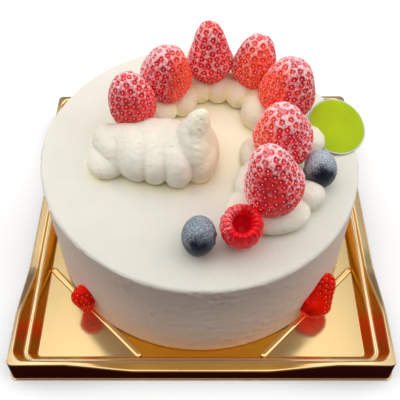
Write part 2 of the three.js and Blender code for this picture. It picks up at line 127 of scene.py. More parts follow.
# From the middle of the crown to the bottom: distance from the axis and height, in radii.
BLUEBERRY_OUTLINE = [(0, 0.80), (0.18, 0.81), (0.27, 0.86), (0.34, 0.95), (0.41, 0.94),
                     (0.46, 0.89), (0.56, 0.84), (0.76, 0.66), (0.93, 0.36), (1, 0), (0.93, -0.36),
                     (0.74, -0.67), (0.42, -0.91), (0.2, -0.98), (0, -1)]
BLUEBERRY_FLAT = 0.82
CROWN_DIP = 22

RASPBERRY = dict(x=18.3, y=-54.4, lift=11.0, right=-0.05, back=-0.3)
# From the bottom of the hollow over its rim to the tip: distance from the axis and height.
RASPBERRY_OUTLINE = [(0, -2.5), (1.8, -1.8), (3.3, 0.8), (4.1, 4.0), (4.9, 7.6), (5.9, 9.3),
                     (7.3, 9.4), (8.6, 7.8), (9.3, 4.0), (9.0, -1.0), (7.7, -5.4), (5.1, -8.8),
                     (2.4, -10.1), (0, -10.4)]

PLAQUE = dict(x=71.6, y=15.2, lift=6.0, right=0.18, back=-0.32)
PLAQUE_RADIUS = 16
PLAQUE_THICK = 0.9
PLAQUE_RIM = 0.8
PLAQUE_COLUMNS = 120

# Lobes of piped cream: x, y, half length, half width, height and turn in degrees.
SWIRL = [
    (-46.6, -9.6, 10.2, 12.4, 10.4, -12),
    (-45.0, -3.2, 9.4, 14.6, 15.4, 20),
    (-33.5, -6.5, 10.5, 18.0, 19.5, 12),
    (-23.8, -7.2, 10.0, 19.3, 20.0, 9),
    (-13.2, -8.0, 10.3, 20.0, 20.5, 9),
    (-0.7, -5.5, 9.4, 17.4, 21.0, 4),
]
# The peak, tip down: x, y, z, half width across and half depth.
PEAK = [(0.7, -2.8, 33.4, 0.6, 0.6), (0.0, -3.0, 32.4, 2.4, 2.4), (-1.4, -3.3, 29.4, 4.9, 4.8),
        (-3.0, -4.6, 24.5, 7.2, 8.0), (-3.4, -6.8, 18.5, 9.2, 12.4), (-2.0, -6.8, 12.0, 10.4, 15.4),
        (-0.9, -5.8, 6.0, 10.4, 17.2), (-0.9, -5.6, 1.0, 9.6, 16.4)]
# Cream behind the lobes, which smooths the swirl's back and top.
SWIRL_CORE = [(-24.0, -1.0, 29.0, 13.0, 19.3, 3), (-40.0, -3.0, 12.0, 12.0, 15.5, 10),
              (-41.0, -8.0, 9.0, 11.5, 12.5, -10)]
RING = [
    (-24.0, 26.0, 10.0, 12.0, 12.5, 50),
    (-11.5, 34.5, 9.5, 12.0, 13.0, 20),
    (-1.0, 43.5, 8.0, 10.5, 13.0, 5),
    (10.0, 44.5, 8.5, 11.5, 13.5, -8),
    (22.0, 41.5, 8.5, 12.0, 12.5, -20),
    (33.0, 40.0, 10.0, 11.0, 11.0, -40),
    (30.5, 23.5, 11.0, 9.0, 15.0, -75),
    (29.5, -4.0, 12.0, 10.0, 10.0, 85),
    (26.5, -22.0, 12.5, 10.0, 10.0, 75),
    (24.0, -36.0, 13.5, 11.0, 6.5, 60),
    (37.0, -42.5, 15.5, 9.5, 11.0, 12),
    (-38.0, 22.0, 9.0, 9.0, 9.0, 60),
    (-30.5, 42.0, 9.5, 9.0, 9.5, 50),
    (-14.0, 51.0, 10.0, 9.0, 9.5, 20),
    (6.0, 57.0, 10.5, 9.0, 10.0, 0),
    (27.0, 55.5, 10.5, 9.0, 9.5, -20),
    (46.0, 38.0, 11.0, 9.0, 9.5, -60),
    (55.0, 6.0, 9.0, 9.5, 11.5, 80),
    (51.8, -30.0, 9.0, 8.5, 11.0, 30),
]
BED = [(-36, 20), (-22, 37), (4, 48), (27, 47), (42, 29), (43, 10), (43, -8), (40, -34)]
BED_RADIUS = 10
BED_SINK = 2

# Cut strawberries: bearing from the cake's middle, length, radius, how deep the kept half is, lean,
# lift, how pointed, how round the foot is, seed spacing, the length at the foot without seeds, the
# way that the smooth side without seeds faces, and where its random draws start.
FOOT_BERRIES = {
    "left": dict(bearing=-136, length=20, radius=6.2, depth=8.9, lean=180, lift=2.3, point=1.0,
                 foot=BERRY_WIDEST, spacing=2.9, unseeded=2, smooth=(0, 0, 0), seed=11),
    "right": dict(bearing=-42.8, length=26.2, radius=9.6, depth=11.2, lean=39, lift=2.2,
                  point=1.0, foot=BERRY_WIDEST, spacing=3.2, unseeded=1.5,
                  smooth=(-0.75, -0.6, 0.1), seed=12),
}

# ---------------------------------------------------------------- camera

PICTURE = 400
FOCAL = 633.75  # in the picture's pixels
CAMERA_AT = (1.262, -220.022, 305.099)
CAMERA_DOWN = 51.96
CAMERA_YAW = 0.499
CAMERA_ROLL = -0.435


def linked(name, data):
    """A new object in the scene."""
    made = bpy.data.objects.new(name, data)
    bpy.context.scene.collection.objects.link(made)
    return made


def make_camera():
    down, yaw, roll = map(math.radians, (CAMERA_DOWN, CAMERA_YAW, CAMERA_ROLL))
    turn = Matrix.Rotation(yaw, 3, "Z")
    ahead = turn @ Vector((0, math.cos(down), -math.sin(down)))
    right = turn @ Vector((1, 0, 0))
    up = turn @ Vector((0, math.sin(down), math.cos(down)))
    right, up = (math.cos(roll) * right + math.sin(roll) * up,
                 -math.sin(roll) * right + math.cos(roll) * up)
    data = bpy.data.cameras.new("camera")
    data.sensor_width = 36
    data.lens = data.sensor_width * FOCAL / PICTURE
    data.clip_start, data.clip_end = 0.01, 20
    camera = linked("camera", data)
    place = Matrix((right, up, -ahead)).transposed().to_4x4()
    place.translation = Vector(CAMERA_AT) * MM
    camera.matrix_world = place
    bpy.context.scene.camera = camera


# ---------------------------------------------------------------- materials

# How far the painted shade darkens the icing.
ICING_SHADE_DEEPEST = 0.8
# The film's own pale gold lies on the floor and rim, brighter in random clouds. The amber of the
# walls and of the floor between the ribs, darker on the side walls towards the front, is painted
# reflection, and so are the near-black skirt and the brown-grey sloping rim facets. The light edge
# colour is a painted highlight.
GOLD = dict(floor=(0.47, 0.335, 0.155), floor_bright=(0.515, 0.375, 0.18),
            rim=(0.53, 0.43, 0.255), wall=(1.0, 0.46, 0.03), painted_dark_side_wall=(0.60, 0.23, 0.02),
            middle=(0.74, 0.37, 0.03), painted_edge_highlight=(0.84, 0.62, 0.31), rough_shaded_facet=(0.20, 0.13, 0.085),
            painted_dark=(0.030, 0.004, 0.0005), shine=(1.0, 0.82, 0.50), dark_shine=(0.45, 0.12, 0.03))


class Nodes:
    """Short calls that add nodes to one tree."""

    def __init__(self, tree):
        self.tree = tree

    def fill(self, socket, value):
        """Links a socket to another one, or sets its own value."""
        if isinstance(value, bpy.types.NodeSocket):
            self.tree.links.new(value, socket)
        elif socket.type == "RGBA":
            socket.default_value = (*value, 1)
        else:
            socket.default_value = value

    def add(self, kind, inputs=None, **settings):
        made = self.tree.nodes.new(kind)
        for key, value in settings.items():
            setattr(made, key, value)
        for key, value in (inputs or {}).items():
            self.fill(made.inputs[key], value)
        return made

    def calc(self, operation, a, b=0.0):
        return self.add("ShaderNodeMath", {0: a, 1: b}, operation=operation).outputs[0]

    def plus(self, *values):
        return reduce(lambda a, b: self.calc("ADD", a, b), values)

    def times(self, *values):
        return reduce(lambda a, b: self.calc("MULTIPLY", a, b), values)

    def blend(self, factor, a, b):
        return self.add("ShaderNodeMix", {0: factor, 6: a, 7: b}, data_type="RGBA").outputs[2]

    def spread(self, value, low, high, to_low=0.0, to_high=1.0, curve="LINEAR"):
        """The value's range from low to high, laid out from to_low to to_high."""
        return self.add("ShaderNodeMapRange", {0: value, 1: low, 2: high, 3: to_low, 4: to_high},
                        interpolation_type=curve).outputs[0]

    def axes(self, vector):
        return self.add("ShaderNodeSeparateXYZ", {0: vector}).outputs[:3]


class Finish(Nodes):
    """A material under one shader, with its patterns on the piece's own coordinates."""

    def __init__(self, name, colour, roughness):
        self.made = bpy.data.materials.new(name)
        self.made.use_nodes = True
        super().__init__(self.made.node_tree)
        self.shader = self.tree.nodes["Principled BSDF"]
        self.put({"Base Color": colour, "Roughness": roughness})

    @cached_property
    def where(self):
        return self.add("ShaderNodeTexCoord").outputs["Object"]

    def put(self, inputs):
        for key, value in inputs.items():
            self.fill(self.shader.inputs[key], value)

    def stored(self, name):
        """A value that the mesh stores for each point."""
        return self.add("ShaderNodeAttribute", attribute_name=name).outputs["Fac"]

    def noise(self, scale, detail=3.0, roughness=0.55):
        return self.add("ShaderNodeTexNoise", {"Vector": self.where, "Scale": scale,
                                               "Detail": detail,
                                               "Roughness": roughness}).outputs["Fac"]

    def bump(self, height, strength, distance):
        made = self.add("ShaderNodeBump", {"Strength": strength, "Distance": distance,
                                           "Height": height})
        self.put({"Normal": made.outputs["Normal"]})

    def soft_inside(self, weight, radius, scale):
        self.put({"Subsurface Weight": weight, "Subsurface Radius": radius,
                  "Subsurface Scale": scale})


def cream_material(name, colour, shade, painted_yellow_glow, warm_side_shade=None):
    """Soft white cream with a painted yellow glow in its creases. Icing is also warmer and darker
    on its side and dimmer in front, as painted shade.
    """
    coat = Finish(name, colour, 0.55)
    colours = coat.blend(coat.spread(coat.noise(60, 4), 0.3, 0.7), colour, shade)
    if warm_side_shade:
        colours = coat.blend(coat.stored("warm_side_shade"), colours, warm_side_shade)
    colours = coat.blend(coat.stored("painted_yellow_glow"), colours, painted_yellow_glow)
    if warm_side_shade:
        painted_shade_scale = coat.spread(coat.stored("painted_shade"), 0, 1, 1.0, ICING_SHADE_DEEPEST)
        colours = coat.add("ShaderNodeVectorMath", {0: colours, "Scale": painted_shade_scale},
                           operation="SCALE").outputs[0]
    coat.put({"Base Color": colours, "Specular IOR Level": 0.3})
    coat.soft_inside(weight=0.4, radius=(1.0, 0.8, 0.5), scale=0.0013)
    coat.bump(coat.plus(coat.noise(900, 4), coat.noise(220, 3)), strength=0.3, distance=0.0004)
    return coat.made


def berry_material(name, deep, bright, orange, frost, gloss, glow, painted_inner_glow, shine,
                   speckle=0.7, painted_under_glow=0.0):
    """Red flesh, with painted shade in its pits and a painted glow, under a grainy cover of frost.
    """
    coat = Finish(name, bright, 0.4)
    flesh = coat.blend(coat.spread(coat.noise(260, 3), 0.35, 0.65), deep, bright)
    flesh = coat.blend(coat.stored("bare"), flesh, orange)
    # Painted shade: the flesh darker in the pits.
    flesh = coat.blend(coat.times(coat.stored("pit_and_shade"), 0.6), flesh, deep)
    grainy = coat.spread(coat.noise(1250, 3, 0.8), 0.38, 0.62, 1 - speckle, 1 + speckle)
    cover = coat.spread(coat.times(coat.stored("frost"), grainy), 0.23, 0.80, 0.0, 0.95)
    coat.put({"Base Color": coat.blend(cover, flesh, frost),
              "Roughness": coat.spread(cover, 0, 0.6, gloss, 0.75),
              "Specular IOR Level": shine,
              # Painted glow: the flesh gives off a faint light of its own colour.
              "Emission Color": flesh,
              "Emission Strength": painted_inner_glow})
    coat.soft_inside(glow, radius=(1.0, 0.2, 0.1), scale=0.002)
    # Painted bounce light: the underside glows as if lit from the gold below.
    if painted_under_glow:
        lit = coat.times(coat.stored("painted_bounce_glow"), painted_under_glow)
        coat.put({"Emission Strength": coat.plus(lit, painted_inner_glow)})
    coat.bump(coat.plus(coat.noise(1300, 3), grainy), strength=0.25, distance=0.0003)
    return coat.made


def blueberry_material():
    """Blue-black skin under a grainy bloom."""
    coat = Finish("frosted_blueberry", (0.02, 0.03, 0.07), 0.4)
    grainy = coat.spread(coat.noise(1400, 3, 0.85), 0.38, 0.62, 0.25, 1.75)
    cover = coat.spread(coat.times(coat.stored("frost"), grainy), 0.08, 1.1)
    skin_tone = coat.blend(coat.noise(150), (0.003, 0.005, 0.014), (0.009, 0.014, 0.036))
    coat.put({"Base Color": coat.blend(cover, skin_tone, (0.45, 0.535, 0.60)),
              "Specular IOR Level": 0.35,
              "Roughness": coat.spread(cover, 0, 0.6, 0.25, 0.8)})
    coat.bump(grainy, strength=0.25, distance=0.0003)
    return coat.made


def plain(name, colour, roughness, grain, strength, shine=0.5, painted_inner_glow=0.0):
    """A finish with slight changes of tone, a fine grain, and where asked a painted glow."""
    coat = Finish(name, colour, roughness)
    tone = coat.spread(coat.noise(grain / 4), 0.3, 0.7)
    darker = tuple(0.8 * c for c in colour)
    coat.put({"Base Color": coat.blend(tone, darker, colour), "Specular IOR Level": shine,
              "Emission Color": colour, "Emission Strength": painted_inner_glow})
    coat.bump(coat.noise(grain), strength, distance=0.0002)
    return coat.made


def gold_material():
    """Thin gold film: pale where it lies flat, with painted amber reflection in its walls and on
    the floor between its ribs at the front and the back, painted dark reflection down the skirt,
    painted highlights along its edges, and painted dark reflection on its rougher sloping rim
    facets."""
    coat = Finish("gold_film", GOLD["floor"], 0.2)
    x, y, _ = coat.axes(coat.where)
    wide, deep = coat.calc("ABSOLUTE", x), coat.calc("ABSOLUTE", y)
    clouds = coat.noise(38, 2)
    inside_ribs = coat.spread(coat.plus(wide, deep), (RIB_REACH - 0.5) * MM,
                              (RIB_REACH + 0.5) * MM, 1.0, 0.0)
    # Painted amber reflection on the floor between the ribs at the front and the back.
    middle = coat.times(coat.stored("floor"), inside_ribs, coat.spread(deep, 0.045, 0.075))
    pale = coat.blend(coat.spread(clouds, 0.3, 0.7), GOLD["floor"], GOLD["floor_bright"])
    pale = coat.blend(coat.stored("floor"), GOLD["rim"], pale)
    # Painted darker reflection on the left and right walls towards the front.
    sides = coat.spread(coat.calc("SUBTRACT", wide, deep), -0.004, 0.004)
    sides = coat.times(sides, coat.spread(y, -0.085, -0.02, 1.0, 0.0))
    walls = coat.blend(sides, GOLD["wall"], GOLD["painted_dark_side_wall"])
    colours = coat.blend(coat.stored("painted_amber_reflection"), pale, walls)
    colours = coat.blend(middle, colours, GOLD["middle"])
    # Painted highlight along the edges, painted dark reflection on the sloping rim facets and the
    # skirt, and painted shade at the ribs' feet.
    for name in ("painted_edge_highlight", "rough_shaded_facet", "painted_dark"):
        colours = coat.blend(coat.stored(name), colours, GOLD[name])
    coat.put({
        "Base Color": colours,
        "Metallic": 0.88,
        # A weaker, redder shine on the painted dark skirt.
        "Specular Tint": coat.blend(coat.stored("painted_dark"), GOLD["shine"], GOLD["dark_shine"]),
        "Specular IOR Level": 0.1,
        "Roughness": coat.plus(coat.spread(clouds, 0.3, 0.7, 0.11, 0.18),
                               coat.times(coat.stored("rough_shaded_facet"), 0.7))})
    coat.bump(coat.noise(90, 2), strength=0.05, distance=0.0005)
    return coat.made


def finishes():
    return {
        "strawberry": berry_material(
            "frosted_strawberry", deep=(0.50, 0.002, 0.022), bright=(0.90, 0.010, 0.020),
            orange=(1.0, 0.075, 0.015), frost=(0.97, 0.73, 0.75), gloss=0.22, glow=0.2,
            painted_inner_glow=0.11, shine=0.45),
        "wet_strawberry": berry_material(
            "cut_strawberry", deep=(0.50, 0.001, 0.0005), bright=(0.80, 0.003, 0.0005),
            orange=(0.90, 0.016, 0.001), frost=(0.9, 0.5, 0.5), gloss=0.12, glow=0.1,
            painted_inner_glow=0.03, shine=0.06, speckle=0.0, painted_under_glow=0.9),
        "raspberry": berry_material(
            "raspberry", deep=(0.46, 0.002, 0.008), bright=(0.74, 0.004, 0.009),
            orange=(0.92, 0.008, 0.010), frost=(0.90, 0.46, 0.50), gloss=0.22, glow=0.35,
            painted_inner_glow=0.22, shine=0.25, speckle=0.8),
        "blueberry": blueberry_material(),
        "seed": plain("seed", (1.0, 0.52, 0.45), roughness=0.4, grain=2500, strength=0.2,
                      shine=0.4, painted_inner_glow=0.25),
        "pale_seed": plain("pale_seed", (0.95, 0.42, 0.13), roughness=0.3, grain=2500,
                           strength=0.2),
        "frost": plain("frost", (0.96, 0.84, 0.85), roughness=0.35, grain=3000, strength=0.3),
        "cream": cream_material("piped_cream", (0.80, 0.765, 0.66), (0.77, 0.735, 0.62),
                                painted_yellow_glow=(0.95, 0.89, 0.56)),
        "icing": cream_material("smooth_icing", (0.755, 0.735, 0.655), (0.735, 0.715, 0.63),
                                painted_yellow_glow=(0.97, 0.93, 0.72), warm_side_shade=(0.81, 0.68, 0.595)),
        "rim": plain("plaque_rim", (0.62, 0.70, 0.50), roughness=0.12, grain=300, strength=0.05),
        "lime": plain("plaque_face", (0.42, 0.55, 0.001), roughness=0.3, grain=200, strength=0.05,
                      shine=0.1),
        "gold": gold_material(),
    }


# ---------------------------------------------------------------- mesh helpers

def placed(points, place):
    """Points turned and moved by a place."""
    return points @ np.array(place.to_3x3(), float).T + np.array(place.translation, float)


def pointing(place):
    """The way that a place's +Z points."""
    return (place.to_3x3() @ Vector((0, 0, 1))).normalized()


def piece(name, points, faces, place=None, finish=None):
    """A smooth mesh object from points in millimetres, turned and moved by place first."""
    points = np.asarray(points, float)
    if place is not None:
        points = placed(points, place)
    mesh = bpy.data.meshes.new(name)
    mesh.from_pydata((points * MM).tolist(), [], faces)
    mesh.update()
    if finish:
        mesh.materials.append(finish)
    mesh.polygons.foreach_set("use_smooth", [True] * len(mesh.polygons))
    return linked(name, mesh)


def full_turn(count):
    return np.linspace(0, 2 * math.pi, count, endpoint=False)


def ring(out, up, angles):
    """Points at the angles round the Z axis."""
    return np.stack([out * np.cos(angles), out * np.sin(angles), up * np.ones(len(angles))], -1)


def lathe(outline, columns):
    """A ring for each (distance from the axis, height) of an outline."""
    return [ring(out, up, full_turn(columns)) for out, up in outline]


def skin(rings):
    """Points and faces of a closed skin over rings of equal count, with a point at each end."""
    count = len(rings[0])
    first = np.mean(rings[0], axis=0)
    last = np.mean(rings[-1], axis=0)
    points = np.vstack([*rings, first[None], last[None]])
    start, end = len(points) - 2, len(points) - 1
    faces = []
    for row in range(len(rings) - 1):
        for i in range(count):
            j = (i + 1) % count
            a = row * count
            faces.append((a + i, a + count + i, a + count + j, a + j))
    base = (len(rings) - 1) * count
    for i in range(count):
        j = (i + 1) % count
        faces.append((start, i, j))
        faces.append((end, base + j, base + i))
    return points, faces


def read_vectors(mesh, key):
    found = np.zeros(len(mesh.vertices) * 3)
    mesh.vertices.foreach_get(key, found)
    return found.reshape(-1, 3)


def surface(made):
    """A piece's points in millimetres, and the way that each one faces."""
    return read_vectors(made.data, "co") / MM, read_vectors(made.data, "normal")


def push(made, points, outward, distance):
    """Moves each point of a piece along the way it faces."""
    moved = (points + outward * distance[:, None]) * MM
    made.data.vertices.foreach_set("co", moved.ravel())
    made.data.update()


def keep_values(made, name, values):
    """Stores a value for each point, which a material reads."""
    layer = made.data.attributes.new(name, "FLOAT", "POINT")
    layer.data.foreach_set("value", np.asarray(values, np.float32))


def nearest(points, targets):
    """Which target is nearest to each point, and how far away it is."""
    tree = kdtree.KDTree(len(targets))
    for i, target in enumerate(targets):
        tree.insert(target, i)
    tree.balance()
    found = [tree.find(p) for p in points]
    return np.array([f[1] for f in found]), np.array([f[2] for f in found])


def write_outwards(body, made):
    """Turns a body's faces outwards and writes it to a piece."""
    bmesh.ops.recalc_face_normals(body, faces=body.faces[:])
    body.to_mesh(made.data)
    body.free()


def lengths_along(line):
    """How far along a line each of its points lies."""
    return np.concatenate([[0], np.cumsum(np.linalg.norm(np.diff(line, axis=0), axis=1))])


def smooth_line(corners, count):
    """Evenly spaced points on a smooth curve through the corners."""
    corners = np.asarray(corners, float)
    padded = np.vstack([2 * corners[0] - corners[1], corners, 2 * corners[-1] - corners[-2]])
    fine = []
    for k in range(len(corners) - 1):
        p0, p1, p2, p3 = padded[k:k + 4]
        for t in np.linspace(0, 1, 24, endpoint=False):
            fine.append(0.5 * (2 * p1 + (p2 - p0) * t + (2 * p0 - 5 * p1 + 4 * p2 - p3) * t ** 2
                               + (3 * p1 - p0 - 3 * p2 + p3) * t ** 3))
    fine.append(corners[-1])
    fine = np.array(fine)
    travelled = lengths_along(fine)
    at = np.linspace(0, travelled[-1], count)
    return np.stack([np.interp(at, travelled, fine[:, k]) for k in range(fine.shape[1])], 1)


def wander(points, scale, seed, depth=3):
    """Smooth noise from about -1 to 1 at each point."""
    shift = Vector((seed, seed * 1.7, -seed))
    return np.array([noise.fractal(Vector(p) * scale + shift, 0.6, 2.0, depth) for p in points])


def smoothstep(value, low, high):
    t = np.clip((value - low) / (high - low), 0, 1)
    return t * t * (3 - 2 * t)


def wobble(angle, seed):
    return 0.6 * np.sin(2 * angle + seed * 1.7) + 0.4 * np.sin(3 * angle + seed * 2.9)


CAKE_TILT = Vector((0, 0, 1)).rotation_difference(Vector((-SLOPE_X, -SLOPE_Y, 1)))
CAKE_TOP_PLACE = Matrix.Translation((CAKE_X, CAKE_Y, CAKE_TOP)) @ CAKE_TILT.to_matrix().to_4x4()


def on_cake(x, y, lift, right, back, **_):
    """The place of a piece that stands on the cake's top, its +Z leant right and back."""
    lean = Vector((0, 0, 1)).rotation_difference(Vector((right, back, 1)))
    return CAKE_TOP_PLACE @ Matrix.Translation((x, y, lift)) @ lean.to_matrix().to_4x4()


def evaluated(made):
    """The plain mesh that an object's modifiers give, with the modifiers removed."""
    found = made.evaluated_get(bpy.context.evaluated_depsgraph_get())
    mesh = bpy.data.meshes.new_from_object(found)
    made.modifiers.clear()
    made.data = mesh
    return made


# ---------------------------------------------------------------- laid by geometry nodes

def laying_tree(name, inputs, lay):
    """A geometry tree that lays copies of a small shape on points.

    inputs gives its named inputs and their kinds, and lay the points, the shape and its turn.
    """
    tree = bpy.data.node_groups.new(name, "GeometryNodeTree")
    for label, kind in {"Geometry": "Geometry", **inputs, "Finish": "Material"}.items():
        tree.interface.new_socket(label, in_out="INPUT", socket_type="NodeSocket" + kind)
    tree.interface.new_socket("Geometry", in_out="OUTPUT", socket_type="NodeSocketGeometry")
    nodes = Nodes(tree)
    start = nodes.add("NodeGroupInput").outputs
    laid = nodes.add("GeometryNodeInstanceOnPoints", lay(nodes, start))
    real = nodes.add("GeometryNodeRealizeInstances", {"Geometry": laid.outputs["Instances"]})
    done = nodes.add("GeometryNodeSetMaterial", {"Geometry": real.outputs["Geometry"],
                                                 "Material": start["Finish"]})
    nodes.add("NodeGroupOutput", {"Geometry": done.outputs["Geometry"]})
    return tree


def run_tree(made, tree, values):
    """Runs a tree on an object and leaves its result as a plain mesh."""
    step = made.modifiers.new(tree.name, "NODES")
    step.node_group = tree
    for item in tree.interface.items_tree:
        if item.item_type == "SOCKET" and item.in_out == "INPUT" and item.name in values:
            step[item.identifier] = values[item.name]
    return evaluated(made)


def seeds_on_points(nodes, start):
    """A long seed at each point, turned by the point's own turn."""
    ball = nodes.add("GeometryNodeMeshIcoSphere", {"Radius": 0.5, "Subdivisions": 1})
    size = nodes.add("ShaderNodeCombineXYZ", {"X": start["Length"], "Y": start["Width"],
                                              "Z": start["Height"]})
    turn = nodes.add("GeometryNodeInputNamedAttribute", {"Name": "turn"},
                     data_type="FLOAT_VECTOR")
    return {"Points": start["Geometry"], "Instance": ball.outputs["Mesh"],
            "Rotation": turn.outputs["Attribute"], "Scale": size.outputs["Vector"]}


def grains_on_skin(nodes, start):
    """Small frost grains scattered over a skin, more where its frost is thick."""
    frost = nodes.add("GeometryNodeInputNamedAttribute", {"Name": "frost"}, data_type="FLOAT")
    strewn = nodes.add("GeometryNodeDistributePointsOnFaces", {
        "Mesh": start["Geometry"], "Seed": start["Seed"],
        "Density": nodes.times(frost.outputs["Attribute"], start["Density"])})
    grain = nodes.add("GeometryNodeMeshCone", {"Vertices": 4, "Radius Top": 0.0,
                                               "Radius Bottom": 0.5, "Depth": 0.8})
    spin = nodes.add("FunctionNodeRandomValue", {"Min": (0.0, 0.0, 0.0), "Max": (6.3, 6.3, 6.3),
                                                 "Seed": start["Seed"]},
                     data_type="FLOAT_VECTOR")
    vary = nodes.add("FunctionNodeRandomValue", {2: 0.4, 3: 1.3}, data_type="FLOAT")
    return {"Points": strewn.outputs["Points"], "Instance": grain.outputs["Mesh"],
            "Rotation": spin.outputs[0],
            "Scale": nodes.times(vary.outputs[1], start["Grain Size"])}


def lay_seeds(name, found, finish, length, width, height):
    """A seed at each place found, laid along its berry."""
    made = piece(name, np.vstack([spots for spots, _, _ in found]), [])
    turns = []
    for _, ups, axis in found:
        for up in map(Vector, ups):
            along = (axis - axis.dot(up) * up).normalized()
            turns.append(Matrix((along, up.cross(along), up)).transposed().to_euler())
    layer = made.data.attributes.new("turn", "FLOAT_VECTOR", "POINT")
    layer.data.foreach_set("vector", np.array(turns, np.float32).ravel())
    tree = laying_tree("lay_seeds", {"Length": "Float", "Width": "Float", "Height": "Float"},
                       seeds_on_points)
    return run_tree(made, tree, {"Length": length * MM, "Width": width * MM,
                                 "Height": height * MM, "Finish": finish})


def frost_over(name, bodies, finish, density, size, seed):
    """One piece of frost grains, strewn over copies of the bodies, so many to a square metre."""
    points, faces, frost, base = [], [], [], 0
    for body in bodies:
        points.append(surface(body)[0])
        thick = np.zeros(len(points[-1]), np.float32)
        body.data.attributes["frost"].data.foreach_get("value", thick)
        frost.append(thick)
        faces += [tuple(base + v for v in f.vertices) for f in body.data.polygons]
        base += len(thick)
    made = piece(name, np.vstack(points), faces)
    keep_values(made, "frost", np.concatenate(frost) ** 2)
    tree = laying_tree("scatter_frost", {"Density": "Float", "Grain Size": "Float",
                                         "Seed": "Int"}, grains_on_skin)
    return run_tree(made, tree, {"Density": density, "Grain Size": size * MM, "Seed": seed,
                                 "Finish": finish})


# ---------------------------------------------------------------- strawberries

SEED_SPACING = 4.2
FIRST_SEEDS = 1.6  # how far below the tip
ROW_STEP = 0.87  # rows of seeds lie this much closer than the seeds in a row
SEED_SWAY = 0.13  # how far a seed strays along its row, as a share of their spacing
ROW_SWAY = 0.3
UNSEEDED = 7  # the length at the foot without seeds
POINTED = 0.18  # how much slimmer a pointed berry is on its shoulders
DRAWN_IN = 0.22  # and a sharp one towards its tip
BERRY_COLUMNS = 190
BERRY_ROWS = 120
PIT_DEPTH = 0.58
SHALLOW_PIT = 0.5
SEED_SUNK = 0.38  # of the pit's depth


def berry_outline(berry):
    """Finely spaced (distance from the axis, height) from the tip to the foot."""
    length, radius = berry["length"], berry["radius"]
    foot_share = berry.get("foot", BERRY_FOOT)
    across = np.linspace(0, math.pi / 2, 200)
    slimmer = 1 - POINTED * berry["point"] * np.sin(math.pi * np.cos(across))
    slimmer -= DRAWN_IN * berry.get("sharp", 0) * np.cos(across) ** 3
    upper = np.stack([np.sin(across) * slimmer * radius,
                      (BERRY_WIDEST + (1 - BERRY_WIDEST) * np.cos(across)) * length], 1)
    below = np.linspace(0, math.asin(BERRY_WIDEST / foot_share), 80)[1:]
    lower = np.stack([np.cos(below) * radius,
                      (BERRY_WIDEST - foot_share * np.sin(below)) * length], 1)
    foot = np.stack([np.linspace(lower[-1, 0], 0, 20)[1:], np.zeros(19)], 1)
    return np.vstack([upper, lower, foot])


def along_outline(outline, at):
    """(distance from the axis, height) at the given lengths along an outline, and its length."""
    travelled = np.concatenate([[0], np.cumsum(np.hypot(*np.diff(outline, axis=0).T))])
    return (np.interp(at, travelled, outline[:, 0]), np.interp(at, travelled, outline[:, 1]),
            travelled[-1])


def berry_skin(berry, seed):
    """A strawberry's points and faces with smooth skin, and where its seeds lie."""
    draw = random.Random(seed)
    outline = berry_outline(berry)
    total = along_outline(outline, [0])[2]

    def uneven_ring(out, up, angle):
        uneven = 1 + 0.03 * wobble(angle, seed) + 0.015 * np.sin(5 * angle + seed)
        return ring(out * uneven, up, angle)

    out, up, _ = along_outline(outline, np.linspace(0, total, BERRY_ROWS + 2)[1:-1])
    points, faces = skin([uneven_ring(o, u, full_turn(BERRY_COLUMNS)) for o, u in zip(out, up)])
    seeds = []
    spacing = berry.get("spacing", SEED_SPACING)
    travelled, turned = FIRST_SEEDS, 0.0
    while travelled < total - berry.get("unseeded", UNSEEDED):
        count = max(3, round(2 * math.pi * along_outline(outline, [travelled])[0][0] / spacing))
        for i in range(count):
            angle = 2 * math.pi * (i + draw.uniform(-SEED_SWAY, SEED_SWAY)) / count + turned
            o, u, _ = along_outline(outline, [travelled + draw.uniform(-ROW_SWAY, ROW_SWAY)])
            seeds.append(uneven_ring(o, u[0], np.array([angle]))[0])
        travelled += ROW_STEP * spacing
        turned += 2 * math.pi * (0.5 + draw.uniform(-0.12, 0.12)) / count + 0.03
    return points, faces, np.array(seeds)


def frost_and_bare(berry, outward, lumpy):
    """How thick the frost lies at each point, and how far the skin there is wiped bare."""
    if "bare" not in berry:
        return 0 * lumpy, np.clip(0.3 + 0.5 * lumpy, 0, 1)
    up = outward[:, 2] - 0.25 * outward[:, 0] + 0.2 * outward[:, 1]
    level = berry["frost"] * (0.62 + 0.55 * np.clip(up, -0.8, 1)) + 0.3 * lumpy
    bare_side = np.array(Vector(berry["bare"]).normalized(), float)
    return level, smoothstep(outward @ bare_side + 0.4 * lumpy, 0.15, 0.95)


def pit(made, seeds, depth, berry):
    """Presses a pit round each seed, stores the pit for painted shade, frost and bare, and gives
    the seeds' places.
    """
    points, outward = surface(made)
    near = nearest(points, seeds)[1] * SEED_SPACING / berry.get("spacing", SEED_SPACING)
    rough, uneven = wander(points, 0.7, 3), wander(points, 0.5, 21, 2)
    pit_and_shade = 1 - smoothstep(near + 0.35 * uneven, 0.6, 1.85)
    ridge = smoothstep(near + 0.5 * uneven, 1.2, 2.05)
    push(made, points, outward, -depth * pit_and_shade + 0.13 * rough + 0.12 * ridge)
    # The pit is also painted darker, as shade.
    keep_values(made, "pit_and_shade", pit_and_shade)
    lumpy, patchy = wander(points, 0.16, 7), wander(points, 0.9, 4, 2)
    level, bare = frost_and_bare(berry, outward, lumpy)
    frost = level * (0.17 + 0.78 * ridge * (0.80 + 0.8 * patchy))
    frost = frost + 0.10 * smoothstep(level, 0.85, 1.35)
    keep_values(made, "bare", berry.get("bareness", 1.0) * bare)
    keep_values(made, "frost", np.clip(frost * (1 - berry.get("dry", 1.0) * bare), 0, 1))
    ups = outward[nearest(seeds, points)[0]]
    return seeds - ups * depth * SEED_SUNK, ups


